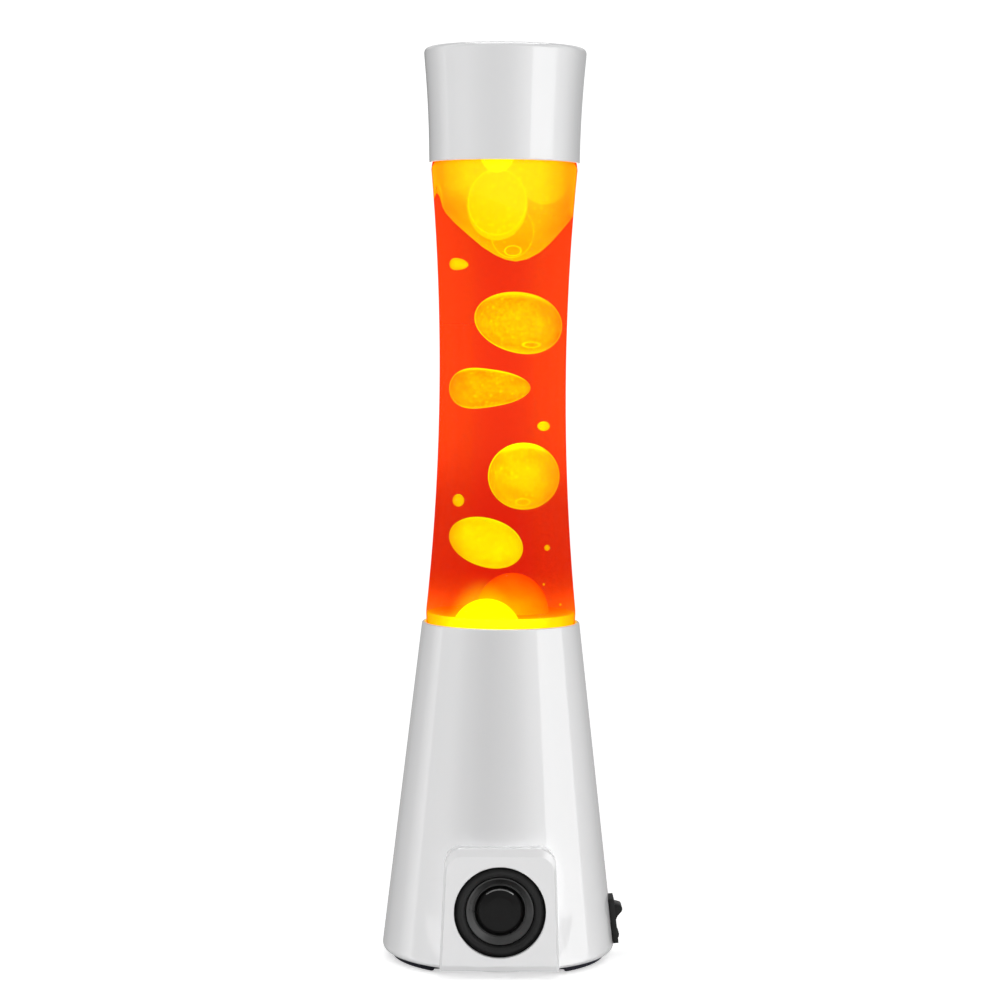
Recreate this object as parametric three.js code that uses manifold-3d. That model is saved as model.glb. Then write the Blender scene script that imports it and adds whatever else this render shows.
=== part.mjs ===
// Lava lamp with a loudspeaker in its base, about 410 mm tall.
// Millimetres, +Z up. The origin is on the ground under the lamp's axis. The loudspeaker faces -Y,
// the rocker switch +X and the mains inlet +Y.
import * as THREE from "three";
import { mergeVertices } from "three/addons/utils/BufferGeometryUtils.js";
import Module from "manifold-3d";

const wasm = await Module();
wasm.setup();

// ---- Driving dimensions ----
const GAP = 0.3; // clearance between neighbouring pieces

const totalHeight = 410;
const capBottom = 359; // lower edge of the top cap
const capWall = 1.6;

const baseTop = 152.6; // rim of the base
const baseBottom = 3; // lower edge of the base shell
const baseRimRadius = 35.6; // outside, at the rim
const baseTaper = 0.1156; // growth of the base's radius per mm downwards
const baseWall = 2.3;
const ledgeTop = 124; // ledge inside the base that carries the bottle
const ledgeHole = 24.5;

const glassWall = 2.5;
const waistZ = 262; // narrowest level of the bottle
const waistRadius = 28.95;
const bottleArcRadius = 1025; // outline of the bottle's side
const bottleBottom = 126.1;
const bottleTop = 388;
const neckRadius = 13.3;
const liquidTop = 350; // above this level the wax fills the bottle
const poolTop = 154.5; // level of the wax lying at the bottom

const housingFront = 52.4; // the loudspeaker housing's flat face is at y = -52.4
const housingTop = 58;
const housingBottom = 3.8;
const housingHalfBottom = 26.4; // half width at its bottom edge
const housingHalfTop = 24.2; // half width at its top edge
const housingCorner = 8;
const speakerZ = 29.7;
const speakerHole = 20.15;

const coverBottom = 0.8;
const coverTop = 3.8;
const coverRadius = 48.3;
const coverNotchHalf = 27.6; // gap in the cover's rim behind the loudspeaker housing
const coverNotchY = -34.5;
const footRadius = 5.5;
const footHeight = 2;

const switchZ = 16.6;
const bezelLength = 20.5;
const bezelWidth = 15;
const bezelHeight = 2.2; // outer face above the base's surface
const seatDepth = 0.5; // flat seats under the switch and the inlet
const switchBodyLength = 18.6;
const switchBodyWidth = 12.6;
const rockerPivot = -1.5; // along the switch's own normal
const rockerTilt = 13; // degrees either side of level
const rockerWidth = 10.8;

const inletZ = 17;
const bulbRadius = 19.5;
const bulbTop = 115;
const bulbBottom = 48;
const holderRadius = 13.2;
const shieldZ = 62;

const baseRadius = (z) => baseRimRadius + baseTaper * (baseTop - z);
const slope = Math.atan(baseTaper); // lean of the base's side from the vertical
const degrees = Math.PI / 180;
const polar = (radius, angle) => [radius * Math.cos(angle * degrees), radius * Math.sin(angle * degrees)];
const glassRadius = (z) =>
  waistRadius + bottleArcRadius - Math.sqrt(bottleArcRadius ** 2 - (z - waistZ) ** 2);
const capRadius = (z) => 33.75 + 9.6e-4 * (z - 355) ** 2;

// ---- Materials ----
const finish = (color, roughness, metalness = 0, more = {}) => () =>
  new THREE.MeshStandardMaterial({ color, roughness, metalness, ...more });
const whiteGloss = finish(0xe9e9ea, 0.22);
const blackPlastic = finish(0x141416, 0.45);
const blackRubber = finish(0x1a1a1b, 0.85);
const clearGlass = finish(0xffffff, 0.05, 0, { transparent: true, opacity: 0.35 });
const redLiquid = finish(0xf4300f, 0.1, 0, { transparent: true, opacity: 0.6 });
const yellowWax = finish(0xfee100, 0.5, 0, { emissive: 0x5a3a00 });
const steel = finish(0xb9bcc0, 0.35, 1);
const brass = finish(0xc9a24a, 0.35, 1);
const aluminium = finish(0xcfd2d4, 0.4, 1);
const ferrite = finish(0x3a3b3d, 0.7);
const paperCone = finish(0x27272a, 0.75);
const copper = finish(0xb2673a, 0.4, 1);
const whiteCeramic = finish(0xeeeae0, 0.5);
const circuitBoard = finish(0x17613a, 0.5);
const leadRed = finish(0xa51f1a, 0.5);
const leadWhite = finish(0xd8d8d2, 0.5);

// ---- Geometry helpers ----

// A solid of revolution about +Z. Its profile of [radius, z] points runs anticlockwise.
function lathe(profile, segments = 24) {
  const points = profile.map(([r, z]) => new THREE.Vector2(r, z));
  return new THREE.LatheGeometry(points, segments).rotateX(Math.PI / 2);
}

// A ring of revolution: the profile closes on itself.
const ring = (profile, segments) => lathe([...profile, profile[0]], segments);

// A plain round washer, tube or disc between two levels.
function tubeRing(inner, outer, low, high, segments) {
  if (inner === 0) return lathe([[0, low], [outer, low], [outer, high], [0, high]], segments);
  return ring([[inner, low], [outer, low], [outer, high], [inner, high]], segments);
}

// Points on an arc in the [radius, z] plane, from one angle to another in degrees.
function arc(centreR, centreZ, radius, from, to, steps) {
  const points = [];
  for (let i = 0; i <= steps; i++) {
    const a = (from + ((to - from) * i) / steps) * degrees;
    points.push([centreR + radius * Math.cos(a), centreZ + radius * Math.sin(a)]);
  }
  return points;
}

// A box between two corners.
function box(low, high) {
  const size = high.map((v, i) => v - low[i]);
  const middle = high.map((v, i) => (v + low[i]) / 2);
  return new THREE.BoxGeometry(...size).translate(...middle);
}

// A round rod from one point to another.
function rod(radius, from, to, segments = 12) {
  const a = new THREE.Vector3(...from);
  const b = new THREE.Vector3(...to);
  const along = b.clone().sub(a);
  const turn = new THREE.Quaternion().setFromUnitVectors(
    new THREE.Vector3(0, 1, 0),
    along.clone().normalize(),
  );
  const middle = a.clone().add(b).multiplyScalar(0.5);
  return new THREE.CylinderGeometry(radius, radius, along.length(), segments)
    .applyQuaternion(turn)
    .translate(middle.x, middle.y, middle.z);
}

// A rectangle with round corners, centred on the origin of its plane.
function roundedRectangle(width, height, radius) {
  const x = width / 2 - radius;
  const y = height / 2 - radius;
  const shape = new THREE.Shape();
  shape.absarc(x, y, radius, 0, Math.PI / 2);
  shape.absarc(-x, y, radius, Math.PI / 2, Math.PI);
  shape.absarc(-x, -y, radius, Math.PI, Math.PI * 1.5);
  shape.absarc(x, -y, radius, Math.PI * 1.5, Math.PI * 2);
  return shape;
}

const extrude = (shape, depth, options = {}) =>
  new THREE.ExtrudeGeometry(shape, { depth, bevelEnabled: false, curveSegments: 4, ...options });

// Turns an extrusion so that its shape's plane becomes the y-z plane and its depth runs along +X.
const outwards = new THREE.Matrix4().makeBasis(
  new THREE.Vector3(0, 1, 0),
  new THREE.Vector3(0, 0, 1),
  new THREE.Vector3(1, 0, 0),
);
const extrudeOutwards = (shape, depth) => extrude(shape, depth).applyMatrix4(outwards);

// A wire of round section along a smooth curve through the points.
function wire(radius, points, steps) {
  const section = new THREE.Shape().absarc(0, 0, radius, 0, Math.PI * 2);
  const path = new THREE.CatmullRomCurve3(points.map((p) => new THREE.Vector3(...p)));
  return new THREE.ExtrudeGeometry(section, { extrudePath: path, steps, curveSegments: 4 });
}

function toSolid(geometry) {
  const bare = new THREE.BufferGeometry();
  const source = geometry.index ? geometry.toNonIndexed() : geometry;
  bare.setAttribute("position", source.getAttribute("position"));
  const merged = mergeVertices(bare, 1e-3);
  return new wasm.Manifold(
    new wasm.Mesh({
      numProp: 3,
      vertProperties: merged.attributes.position.array,
      triVerts: new Uint32Array(merged.index.array),
    }),
  );
}

function toGeometry(solid) {
  const mesh = solid.getMesh();
  const geometry = new THREE.BufferGeometry();
  geometry.setAttribute("position", new THREE.BufferAttribute(new Float32Array(mesh.vertProperties), 3));
  geometry.setIndex(new THREE.BufferAttribute(new Uint32Array(mesh.triVerts), 1));
  geometry.computeVertexNormals();
  return geometry;
}

const join = (first, ...others) =>
  toGeometry(others.reduce((solid, other) => solid.add(toSolid(other)), toSolid(first)));
const cut = (first, ...others) =>
  toGeometry(others.reduce((solid, other) => solid.subtract(toSolid(other)), toSolid(first)));
const common = (first, second) => toGeometry(toSolid(first).intersect(toSolid(second)));

// ---- The assembly ----
const lamp = new THREE.Group();

function piece(name, geometry, material, parent = lamp) {
  const mesh = new THREE.Mesh(geometry, material());
  mesh.name = name;
  parent.add(mesh);
  return mesh;
}

// A pan-head screw. The underside of its head is at the given point and its shank runs along the direction.
function screw(name, at, direction, shank, length, parent = lamp) {
  const head = shank * 1.9;
  const profile = [
    [0, -length],
    [shank, -length + shank],
    [shank, 0],
    [head, 0],
    [head, shank * 0.7],
    [head * 0.6, shank * 1.15],
    [0, shank * 1.15],
  ];
  const mesh = piece(name, lathe(profile, 8), steel, parent);
  mesh.quaternion.setFromUnitVectors(new THREE.Vector3(0, 0, -1), new THREE.Vector3(...direction));
  mesh.position.set(...at);
}

// ---- Places shared by several pieces ----
const coverScrews = [polar(42, 68), polar(42, 112), polar(42, 210), polar(42, 330)];
const feet = [polar(38, 40), polar(38, 140), polar(36, 228), polar(36, 312)];
const coverCup = { radius: 4.5, head: 3.3, hole: 1.8, top: 6, seat: 3.2 };
const coverScrewShank = 1.5;
const shieldScrewShank = 1.2;
const speakerScrewShank = 1;
const shieldScrews = [polar(38.5, 50), polar(38.5, 230)];
const speakerScrews = [-1, 1].flatMap((x) => [-1, 1].map((z) => [19.2 * x, speakerZ + 19.2 * z]));
const bracketScrews = [[-10, 0], [10, 0]];
const boardPosts = [[-39, -9], [-24, -9], [-39, 17], [-24, 17]];

// ---- Seats on the sloping side: a group whose +X is the outward normal of the base at a level ----
function sideGroup(level, angle) {
  const turned = new THREE.Group();
  turned.rotation.z = angle * degrees;
  const leaning = new THREE.Group();
  leaning.position.set(baseRadius(level), 0, level);
  leaning.rotation.y = -slope;
  turned.add(leaning);
  lamp.add(turned);
  turned.updateMatrixWorld(true);
  return leaning;
}
const switchGroup = sideGroup(switchZ, 0);
const inletGroup = sideGroup(inletZ, 90);
const inPlace = (geometry, group) => geometry.applyMatrix4(group.matrixWorld);

// ---- Base shell ----

// Front outline of the loudspeaker housing, drawn in x and z, reaching below its bottom edge.
function housingOutline(inset, bottom) {
  const top = housingTop - inset;
  const corner = housingCorner - inset;
  const halfTop = housingHalfTop - inset;
  const lean = (housingHalfBottom - housingHalfTop) / (housingTop - housingBottom);
  const halfLow = halfTop + lean * (top - bottom);
  const shape = new THREE.Shape();
  shape.moveTo(-halfLow, bottom);
  shape.lineTo(halfLow, bottom);
  shape.lineTo(halfTop + lean * corner, top - corner);
  shape.absarc(halfTop - corner, top - corner, corner, 0, Math.PI / 2);
  shape.absarc(-halfTop + corner, top - corner, corner, Math.PI / 2, Math.PI);
  return shape;
}

// A block with the housing's outline, its rounded front edge on the plane y = -front.
function housingBlock(inset, bottom, front, depth, edge) {
  const outline = housingOutline(inset + edge, bottom);
  const options = { bevelEnabled: true, bevelSize: edge, bevelThickness: edge, bevelSegments: 3 };
  const block = extrude(outline, depth, edge > 0 ? options : {});
  return block.rotateX(Math.PI / 2).translate(0, -front + edge + depth, 0);
}

function baseShell() {
  const lipInner = 48.9;
  const lipTop = 5.4;
  const edge = 3;
  const rim = baseRimRadius - 2.2;
  const outerBody = lathe([
    [0, baseBottom],
    ...arc(baseRadius(baseBottom + edge) - edge, baseBottom + edge, edge, -90, 0, 3),
    [baseRadius(baseTop - 1), baseTop - 1],
    ...arc(baseRimRadius - 0.95, baseTop - 1, 1, 50, 90, 1),
    [0, baseTop],
  ], 48);
  const cavity = lathe([
    [0, baseBottom - 5],
    [lipInner, baseBottom - 5],
    [lipInner, lipTop],
    [baseRadius(lipTop) - baseWall, lipTop],
    [baseRadius(ledgeTop - 2.5) - baseWall, ledgeTop - 2.5],
    [ledgeHole, ledgeTop - 2.5],
    [ledgeHole, ledgeTop],
    [baseRadius(ledgeTop) - baseWall, ledgeTop],
    [rim, baseTop - 1],
    ...arc(rim + 1, baseTop - 1, 1, 135, 90, 1),
    [rim + 1, baseTop + 5],
    [0, baseTop + 5],
  ], 48);
  const frontBlock = cut(
    housingBlock(0, -10, housingFront, 30, 2),
    box([-60, -80, -20], [60, 0, housingBottom]),
  );
  const frontCavity = common(
    housingBlock(baseWall, -10, housingFront - baseWall, 40, 0),
    box([-60, -80, housingBottom + baseWall], [60, -15, housingTop]),
  );
  // The housing's floor reaches back to the notch in the cover.
  const floorHalf = housingHalfBottom - 1;
  const floor = box(
    [-floorHalf, 1 - housingFront, housingBottom],
    [floorHalf, coverNotchY - 1, housingBottom + baseWall],
  );

  const bossBottom = coverCup.top + GAP;
  const bosses = coverScrews.flatMap(([x, y]) => {
    const reach = (baseRadius(10) - 1) / Math.hypot(x, y);
    return [
      rod(4, [x, y, bossBottom], [x, y, 11], 10),
      rod(1.6, [x, y, bossBottom + 2], [x * reach, y * reach, bossBottom + 2], 6),
    ];
  });
  const bossHoles = coverScrews.map(([x, y]) =>
    rod(coverScrewShank + GAP, [x, y, bossBottom - 1], [x, y, 10], 8),
  );
  const shieldBosses = shieldScrews.flatMap(([x, y]) => {
    const reach = (baseRadius(70) - 1) / Math.hypot(x, y);
    return [
      rod(3, [x, y, shieldZ + 1 + GAP], [x, y, 74], 10),
      rod(2, [x, y, 70], [x * reach, y * reach, 70], 6),
    ];
  });
  const shieldHoles = shieldScrews.map(([x, y]) =>
    rod(shieldScrewShank + GAP, [x, y, shieldZ], [x, y, 72], 8),
  );
  const speakerPosts = speakerScrews.map(([x, z]) =>
    rod(2.7, [x, -housingFront + 1, z], [x, -48.6, z], 10),
  );
  const speakerPostHoles = speakerScrews.map(([x, z]) =>
    rod(speakerScrewShank + GAP, [x, -51.5, z], [x, -48, z], 8),
  );

  const hollow = cut(join(outerBody, frontBlock), cavity, frontCavity);
  const solid = join(hollow, floor, ...bosses, ...shieldBosses, ...speakerPosts);
  const seatHalf = [(bezelWidth + 0.6) / 2, (bezelLength + 0.6) / 2];
  const switchSeat = box([-seatDepth, -seatHalf[0], -seatHalf[1]], [6, seatHalf[0], seatHalf[1]]);
  const switchHole = box([-8, -6.6, -9.6], [6, 6.6, 9.6]);
  const inletSeat = box([-seatDepth, -11.4, -7.4], [6, 11.4, 7.4]);
  const inletHole = box([-8, -9.8, -5.8], [6, 9.8, 5.8]);
  return cut(
    solid,
    rod(speakerHole, [0, -70, speakerZ], [0, -47, speakerZ], 36),
    inPlace(switchSeat, switchGroup),
    inPlace(switchHole, switchGroup),
    inPlace(inletSeat, inletGroup),
    inPlace(inletHole, inletGroup),
    ...bossHoles,
    ...shieldHoles,
    ...speakerPostHoles,
  );
}
piece("base_shell", baseShell(), whiteGloss);

// ---- Underside: cover, feet and the screws that hold the cover ----
function bottomCover() {
  const plate = lathe([
    [0, coverBottom],
    [coverRadius - 1.2, coverBottom],
    [coverRadius - 0.3, coverBottom + 0.6],
    [coverRadius, coverBottom + 1.4],
    [coverRadius, coverTop],
    [0, coverTop],
  ], 40);
  const notch = extrude(roundedRectangle(2 * coverNotchHalf, 40, 2), 10)
    .translate(0, coverNotchY - 20, -2);
  const cups = coverScrews.concat(bracketScrews).map(([x, y]) =>
    rod(coverCup.radius, [x, y, coverTop - 1], [x, y, coverCup.top], 10),
  );
  const cupHoles = coverScrews.concat(bracketScrews).flatMap(([x, y]) => [
    rod(coverCup.head, [x, y, -1], [x, y, coverCup.seat], 10),
    rod(coverCup.hole, [x, y, 0], [x, y, coverCup.top + 1], 8),
  ]);
  const footPockets = feet.map(([x, y]) =>
    rod(footRadius + GAP, [x, y, -1], [x, y, footHeight + GAP], 16),
  );
  const posts = boardPosts.map(([x, y]) => rod(2, [x, y, coverTop - 1], [x, y, 8.7], 6));
  const slotRows = [-24, -19, -14, 14, 19, 24];
  const slots = slotRows.map((y) => box([-11, y - 1, -1], [11, y + 1, 6]));
  return cut(join(plate, ...cups, ...posts), notch, ...cupHoles, ...footPockets, ...slots);
}
piece("bottom_cover", bottomCover(), blackPlastic);
feet.forEach(([x, y], i) => {
  const foot = lathe([
    [0, 0],
    [footRadius - 0.8, 0],
    [footRadius, 0.7],
    [footRadius, footHeight],
    [0, footHeight],
  ], 16);
  piece("rubber_foot_" + (i + 1), foot.translate(x, y, 0), blackRubber);
});
coverScrews.forEach(([x, y], i) => {
  screw("cover_screw_" + (i + 1), [x, y, coverCup.seat - GAP], [0, 0, 1], coverScrewShank, 6.5);
});

// ---- Lampholder on its bracket ----
const bracketTop = 38.5;
const bracketThickness = 1.5;
const bracketHalf = 17;
const bracketFoot = coverCup.top + GAP;
const stemRadius = 5;

function lampBracket() {
  const t = bracketThickness;
  const inner = bracketHalf - t;
  const outline = new THREE.Shape();
  const corners = [
    [-bracketHalf, bracketFoot],
    [-5, bracketFoot],
    [-5, bracketFoot + t],
    [-inner, bracketFoot + t],
    [-inner, bracketTop - t],
    [inner, bracketTop - t],
    [inner, bracketFoot + t],
    [5, bracketFoot + t],
    [5, bracketFoot],
    [bracketHalf, bracketFoot],
    [bracketHalf, bracketTop],
    [-bracketHalf, bracketTop],
  ];
  outline.setFromPoints(corners.map(([x, z]) => new THREE.Vector2(x, z)));
  const strip = extrude(outline, 16).rotateX(Math.PI / 2).translate(0, 8, 0);
  const holes = bracketScrews.map(([x, y]) => rod(1.8, [x, y, 0], [x, y, 12], 8));
  return cut(strip, rod(stemRadius + 0.5, [0, 0, 30], [0, 0, 45], 16), ...holes);
}
piece("lamp_bracket", lampBracket(), steel);
bracketScrews.forEach(([x, y], i) => {
  screw("bracket_screw_" + (i + 1), [x, y, coverCup.seat - GAP], [0, 0, 1], coverScrewShank, 7);
});

const holderBottom = bracketTop + GAP;
const threadRadius = 7.4;
piece("lampholder_body", ring([
  [3, bracketTop - 6],
  [stemRadius, bracketTop - 6],
  [stemRadius, holderBottom],
  [holderRadius, holderBottom],
  [holderRadius, 62],
  [holderRadius - 1.2, 66.5],
  [threadRadius + 1.2, 66.5],
  [threadRadius + 1.2, 46],
  [3, 46],
], 20), whiteCeramic);
function lampholderNut() {
  const top = bracketTop - bracketThickness - GAP;
  return cut(
    rod(8.5, [0, 0, top - 2.6], [0, 0, top], 6),
    rod(stemRadius + 0.5, [0, 0, 0], [0, 0, top + 5], 16),
  );
}
piece("lampholder_nut", lampholderNut(), brass);
piece("lampholder_thread", ring([
  [4, 46.3],
  [threadRadius + 0.8, 46.3],
  [threadRadius + 0.8, 66],
  [threadRadius, 66],
  [threadRadius, 47],
  [4, 47],
], 16), brass);

// ---- Bulb: its screw cap turns in the lampholder's thread, and carries the glass reflector ----
const capJoin = 70;
piece("bulb_cap", lathe([
  [0, bulbBottom],
  [2.2, bulbBottom],
  [3.2, bulbBottom + 1.2],
  [6.8, bulbBottom + 3.4],
  [6.8, capJoin - 3],
  [8, capJoin],
  [0, capJoin],
], 16), brass);
piece("bulb_glass", ring([
  [5.5, capJoin + GAP],
  [7.4, capJoin + GAP],
  [8.2, 76],
  [12, 84],
  [17, 92],
  [bulbRadius, 100],
  [bulbRadius, 104],
  [17.5, 110],
  [11, 113.8],
  [0.01, bulbTop],
  [0.01, bulbTop - 1],
  [10.6, 112.8],
  [16.8, 109.2],
  [bulbRadius - 1, 103.8],
  [bulbRadius - 1, 100.2],
  [16, 92.6],
  [11, 84.6],
  [7.2, 76.2],
  [6.2, capJoin + 2],
], 16), clearGlass);

// ---- Heat shield between the bulb and the electronics ----
function heatShield() {
  const disc = lathe([
    [0, shieldZ],
    [baseRadius(shieldZ) - baseWall - 0.8, shieldZ],
    [baseRadius(shieldZ) - baseWall - 0.8, shieldZ + 1],
    [0, shieldZ + 1],
  ], 28);
  const holes = shieldScrews.map(([x, y]) =>
    rod(shieldScrewShank + GAP, [x, y, shieldZ - 2], [x, y, shieldZ + 3], 8),
  );
  return cut(disc, rod(holderRadius + 0.8, [0, 0, shieldZ - 2], [0, 0, shieldZ + 3], 20), ...holes);
}
piece("heat_shield", heatShield(), aluminium);
shieldScrews.forEach(([x, y], i) => {
  screw("shield_screw_" + (i + 1), [x, y, shieldZ - GAP], [0, 0, 1], shieldScrewShank, 8);
});

// ---- Loudspeaker, drawn along +Z with z the distance in front of the axis plane, then turned to -Y ----
const speakerGroup = new THREE.Group();
speakerGroup.position.set(0, 0, speakerZ);
speakerGroup.rotation.x = Math.PI / 2;
lamp.add(speakerGroup);
speakerGroup.updateMatrixWorld(true);

const flangeWidth = 43.2;
const flangeFront = 48.3;
const flangeBack = 47.1;
const surroundInner = 15.35;
const coneEdge = 15.05;
const dustCapRadius = 10.4;
const coilRadius = 9.2;

piece("speaker_gasket", tubeRing(20.9, 22.4, flangeFront + GAP, 49.8, 28), blackRubber, speakerGroup);
function speakerBasket() {
  const flangeShape = roundedRectangle(flangeWidth, flangeWidth, 4);
  const flange = extrude(flangeShape, flangeFront - flangeBack).translate(0, 0, flangeBack);
  const bowl = lathe([
    [0, 35.5],
    [15.5, 35.5],
    [16, 39],
    [21.5, flangeBack + 0.5],
    [0, flangeBack + 0.5],
  ], 24);
  const inside = lathe([
    [0, 36.8],
    [14.6, 36.8],
    [15, 39.3],
    [20, 46.8],
    [20, 55],
    [0, 55],
  ], 24);
  const windows = [0, 1].map((i) => {
    const slot = box([-6, -30, 39.5], [6, 30, 44.5]);
    return slot.rotateZ((i * Math.PI) / 2);
  });
  const holes = speakerScrews.map(([x, z]) =>
    rod(speakerScrewShank + GAP, [x, z - speakerZ, 40], [x, z - speakerZ, 55], 8),
  );
  const coilHole = rod(coilRadius + 0.6, [0, 0, 30], [0, 0, 40], 24);
  return cut(join(flange, bowl), inside, coilHole, ...windows, ...holes);
}
piece("speaker_basket", speakerBasket(), blackPlastic, speakerGroup);
piece("speaker_magnet", tubeRing(10.4, 15.5, 29, 35.2, 24), ferrite, speakerGroup);
piece("speaker_yoke", lathe([
  [0, 26],
  [14.5, 26],
  [14.5, 28.7],
  [8, 28.7],
  [8, 38],
  [0, 38],
], 24), steel, speakerGroup);
speakerScrews.forEach(([x, z], i) => {
  const at = [x, z - speakerZ, flangeBack - GAP];
  screw("speaker_screw_" + (i + 1), at, [0, 0, 1], speakerScrewShank, 4, speakerGroup);
});

// The surround's half roll bulges forward between the frame and the cone.
piece("speaker_surround", ring([
  [19.3, flangeFront + GAP],
  [20.4, flangeFront + GAP],
  [20.4, 49.3],
  ...arc(17.4, 49.3, 2.05, 10, 170, 4),
  [surroundInner, 49.0],
  [surroundInner, 48.4],
  ...arc(17.4, 48.9, 1.3, 180, 0, 3),
], 32), blackRubber, speakerGroup);

piece("speaker_cone", ring([
  [coilRadius + 0.1, 43.2],
  [coilRadius + 0.9, 43.2],
  [coneEdge, 48.2],
  [coneEdge, 49.3],
  [14.2, 49.0],
  [10.9, 45.4],
  [coilRadius + 0.1, 44.0],
], 32), paperCone, speakerGroup);
piece("voice_coil", tubeRing(8.5, coilRadius, 33, 42.9, 20), copper, speakerGroup);
piece("dust_cap", lathe([
  [0, 46.5],
  [8.4, 45.2],
  [9.6, 44.5],
  [10.3, 45.2],
  [dustCapRadius, 45.6],
  [9.3, 46.6],
  [6.6, 47.8],
  [3.4, 48.5],
  [0, 48.7],
], 20), paperCone, speakerGroup);

// ---- Rocker switch on the right side, drawn in its own leaning frame: x outwards, z up the slope ----
function switchBody() {
  const bezelShape = roundedRectangle(bezelWidth, bezelLength, 1.2);
  const bezel = extrudeOutwards(bezelShape, bezelHeight + 0.2).translate(-0.2, 0, 0);
  const halfWidth = switchBodyWidth / 2;
  const halfLength = switchBodyLength / 2;
  const body = box([-17, -halfWidth, -halfLength], [0.5, halfWidth, halfLength]);
  const well = box([-7.6, -5.7, -8.75], [10, 5.7, 8.75]);
  const mouth = box([-0.2, -5.7, -9.2], [10, 5.7, 9.2]);
  return cut(join(bezel, body), well, mouth);
}
piece("switch_body", switchBody(), blackPlastic, switchGroup);

// Side view of the rocker when level: [up the slope, outwards] from its pivot line. The face is dished.
function rocker() {
  const half = [
    [0, 2.1],
    [2.7, 2.6],
    [5.2, 4.3],
    [6.6, 4.4],
    [7.7, 3.5],
    [8, 1],
    [7.7, -2],
    [4.2, -4.5],
  ];
  const outline = [...half, ...half.slice(1).reverse().map(([t, n]) => [-t, n])];
  const shape = new THREE.Shape(outline.map(([t, n]) => new THREE.Vector2(n - rockerPivot, t)));
  return extrude(shape, rockerWidth).rotateX(Math.PI / 2).translate(0, rockerWidth / 2, 0);
}
const rockerGroup = new THREE.Group();
rockerGroup.position.set(rockerPivot, 0, 0);
rockerGroup.rotation.y = rockerTilt * degrees;
switchGroup.add(rockerGroup);
piece("switch_rocker", rocker(), blackPlastic, rockerGroup);
[-1, 1].forEach((side, i) => {
  const tab = box([-24, -2.4, side * 4 - 0.4], [-17 - GAP, 2.4, side * 4 + 0.4]);
  piece("switch_terminal_" + (i + 1), tab, brass, switchGroup);
});

// ---- Two-pin mains inlet at the rear, drawn in its own leaning frame ----
const socketDepth = 12;
const pinOffset = 4.3;
const pinRadius = 1.2;
function inletBody() {
  const flange = extrudeOutwards(roundedRectangle(22, 14, 2), 1.7).translate(-0.2, 0, 0);
  const body = box([-17, -9.5, -5.5], [0.5, 9.5, 5.5]);
  const socket = extrudeOutwards(roundedRectangle(16.4, 8, 3.9), 20).translate(-socketDepth, 0, 0);
  const pinHoles = [-1, 1].map((side) =>
    rod(pinRadius + GAP, [-20, pinOffset * side, 0], [0, pinOffset * side, 0], 12),
  );
  return cut(join(flange, body), socket, ...pinHoles);
}
piece("mains_inlet", inletBody(), blackPlastic, inletGroup);
[-1, 1].forEach((side, i) => {
  const pin = rod(pinRadius, [-21, pinOffset * side, 0], [-2, pinOffset * side, 0], 12);
  piece("inlet_pin_" + (i + 1), pin, steel, inletGroup);
});

// ---- Electronics on the cover ----
const boardTop = 10.6;
piece("audio_board", box([-42, -12, 9], [-21, 20, boardTop]), circuitBoard);
piece("bluetooth_module", box([-40, 2, boardTop + GAP], [-27, 16, 13.4]), steel);
piece("board_capacitor", lathe([
  [0, 0],
  [4, 0],
  [4, 11],
  [3.4, 11.6],
  [0, 11.6],
], 16).translate(-33, -6, boardTop + GAP), blackPlastic);
piece("power_module", box([13, 10, coverTop + GAP], [32, 32, 19]), blackPlastic);

const leadRadius = 1.1;
piece("lamp_lead", wire(leadRadius, [
  [26.2, 2, 19],
  [22, 7, 25],
  [19, 10.5, 35],
  [16.5, 10.5, 44],
  [12.6, 8.4, 50],
], 14), leadWhite);
piece("switch_lead", wire(leadRadius, [
  [3, 29.2, 15.5],
  [5, 25, 19],
  [13, 21, 24],
  [22, 12, 25],
  [25.6, 1.5, 14],
], 16), leadWhite);
piece("speaker_lead", wire(leadRadius, [
  [-24, -9, 12.2],
  [-24, -16, 16],
  [-22.5, -26, 22],
  [-18.6, -34, 27],
  [-17.4, -38, 30],
], 12), leadRed);

// ---- Bottle ----
function glassBottle() {
  const sideFrom = 157;
  const sideTo = 357;
  const levels = [157, 190, 225, 262, 299, 330, 357];
  const side = (inset) => levels.map((z) => [glassRadius(z) - inset, z]);
  const foot = glassRadius(sideFrom) - 2.5;
  const shoulder = glassRadius(sideTo) - 4;
  const outer = [
    [0, bottleBottom + 1.5],
    [18, bottleBottom],
    [26.5, bottleBottom],
    [28, bottleBottom + 1.5],
    [33, 152.4],
    ...arc(foot, 154.6, 2.5, -45, 0, 2),
    ...side(0),
    ...arc(shoulder, sideTo, 4, 30, 75, 3),
    [21, 366.5],
    [15, 371.5],
    [neckRadius, 376],
    [neckRadius, bottleTop],
  ];
  const inner = [
    [neckRadius - 2.6, bottleTop],
    [neckRadius - 2.6, 375],
    [13, 369.5],
    [20, 363.8],
    [shoulder, 359],
    ...side(glassWall).reverse(),
    [30.2, 153],
    [25.4, bottleBottom + 5],
    [0, bottleBottom + 4.4],
  ];
  return lathe([...outer, ...inner], 28);
}
piece("glass_bottle", glassBottle(), clearGlass);
piece("crown_cap", lathe([
  [0, bottleTop + GAP],
  [neckRadius + 0.4, bottleTop + GAP],
  [neckRadius + 0.4, 383],
  [15.8, 382.6],
  [15.2, 385],
  [14.3, bottleTop + 1],
  [13, bottleTop + 1.5],
  [0, bottleTop + 1.5],
], 24), steel);

// ---- Wax: each body can be made a little larger, to cut its place out of the liquid ----

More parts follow.
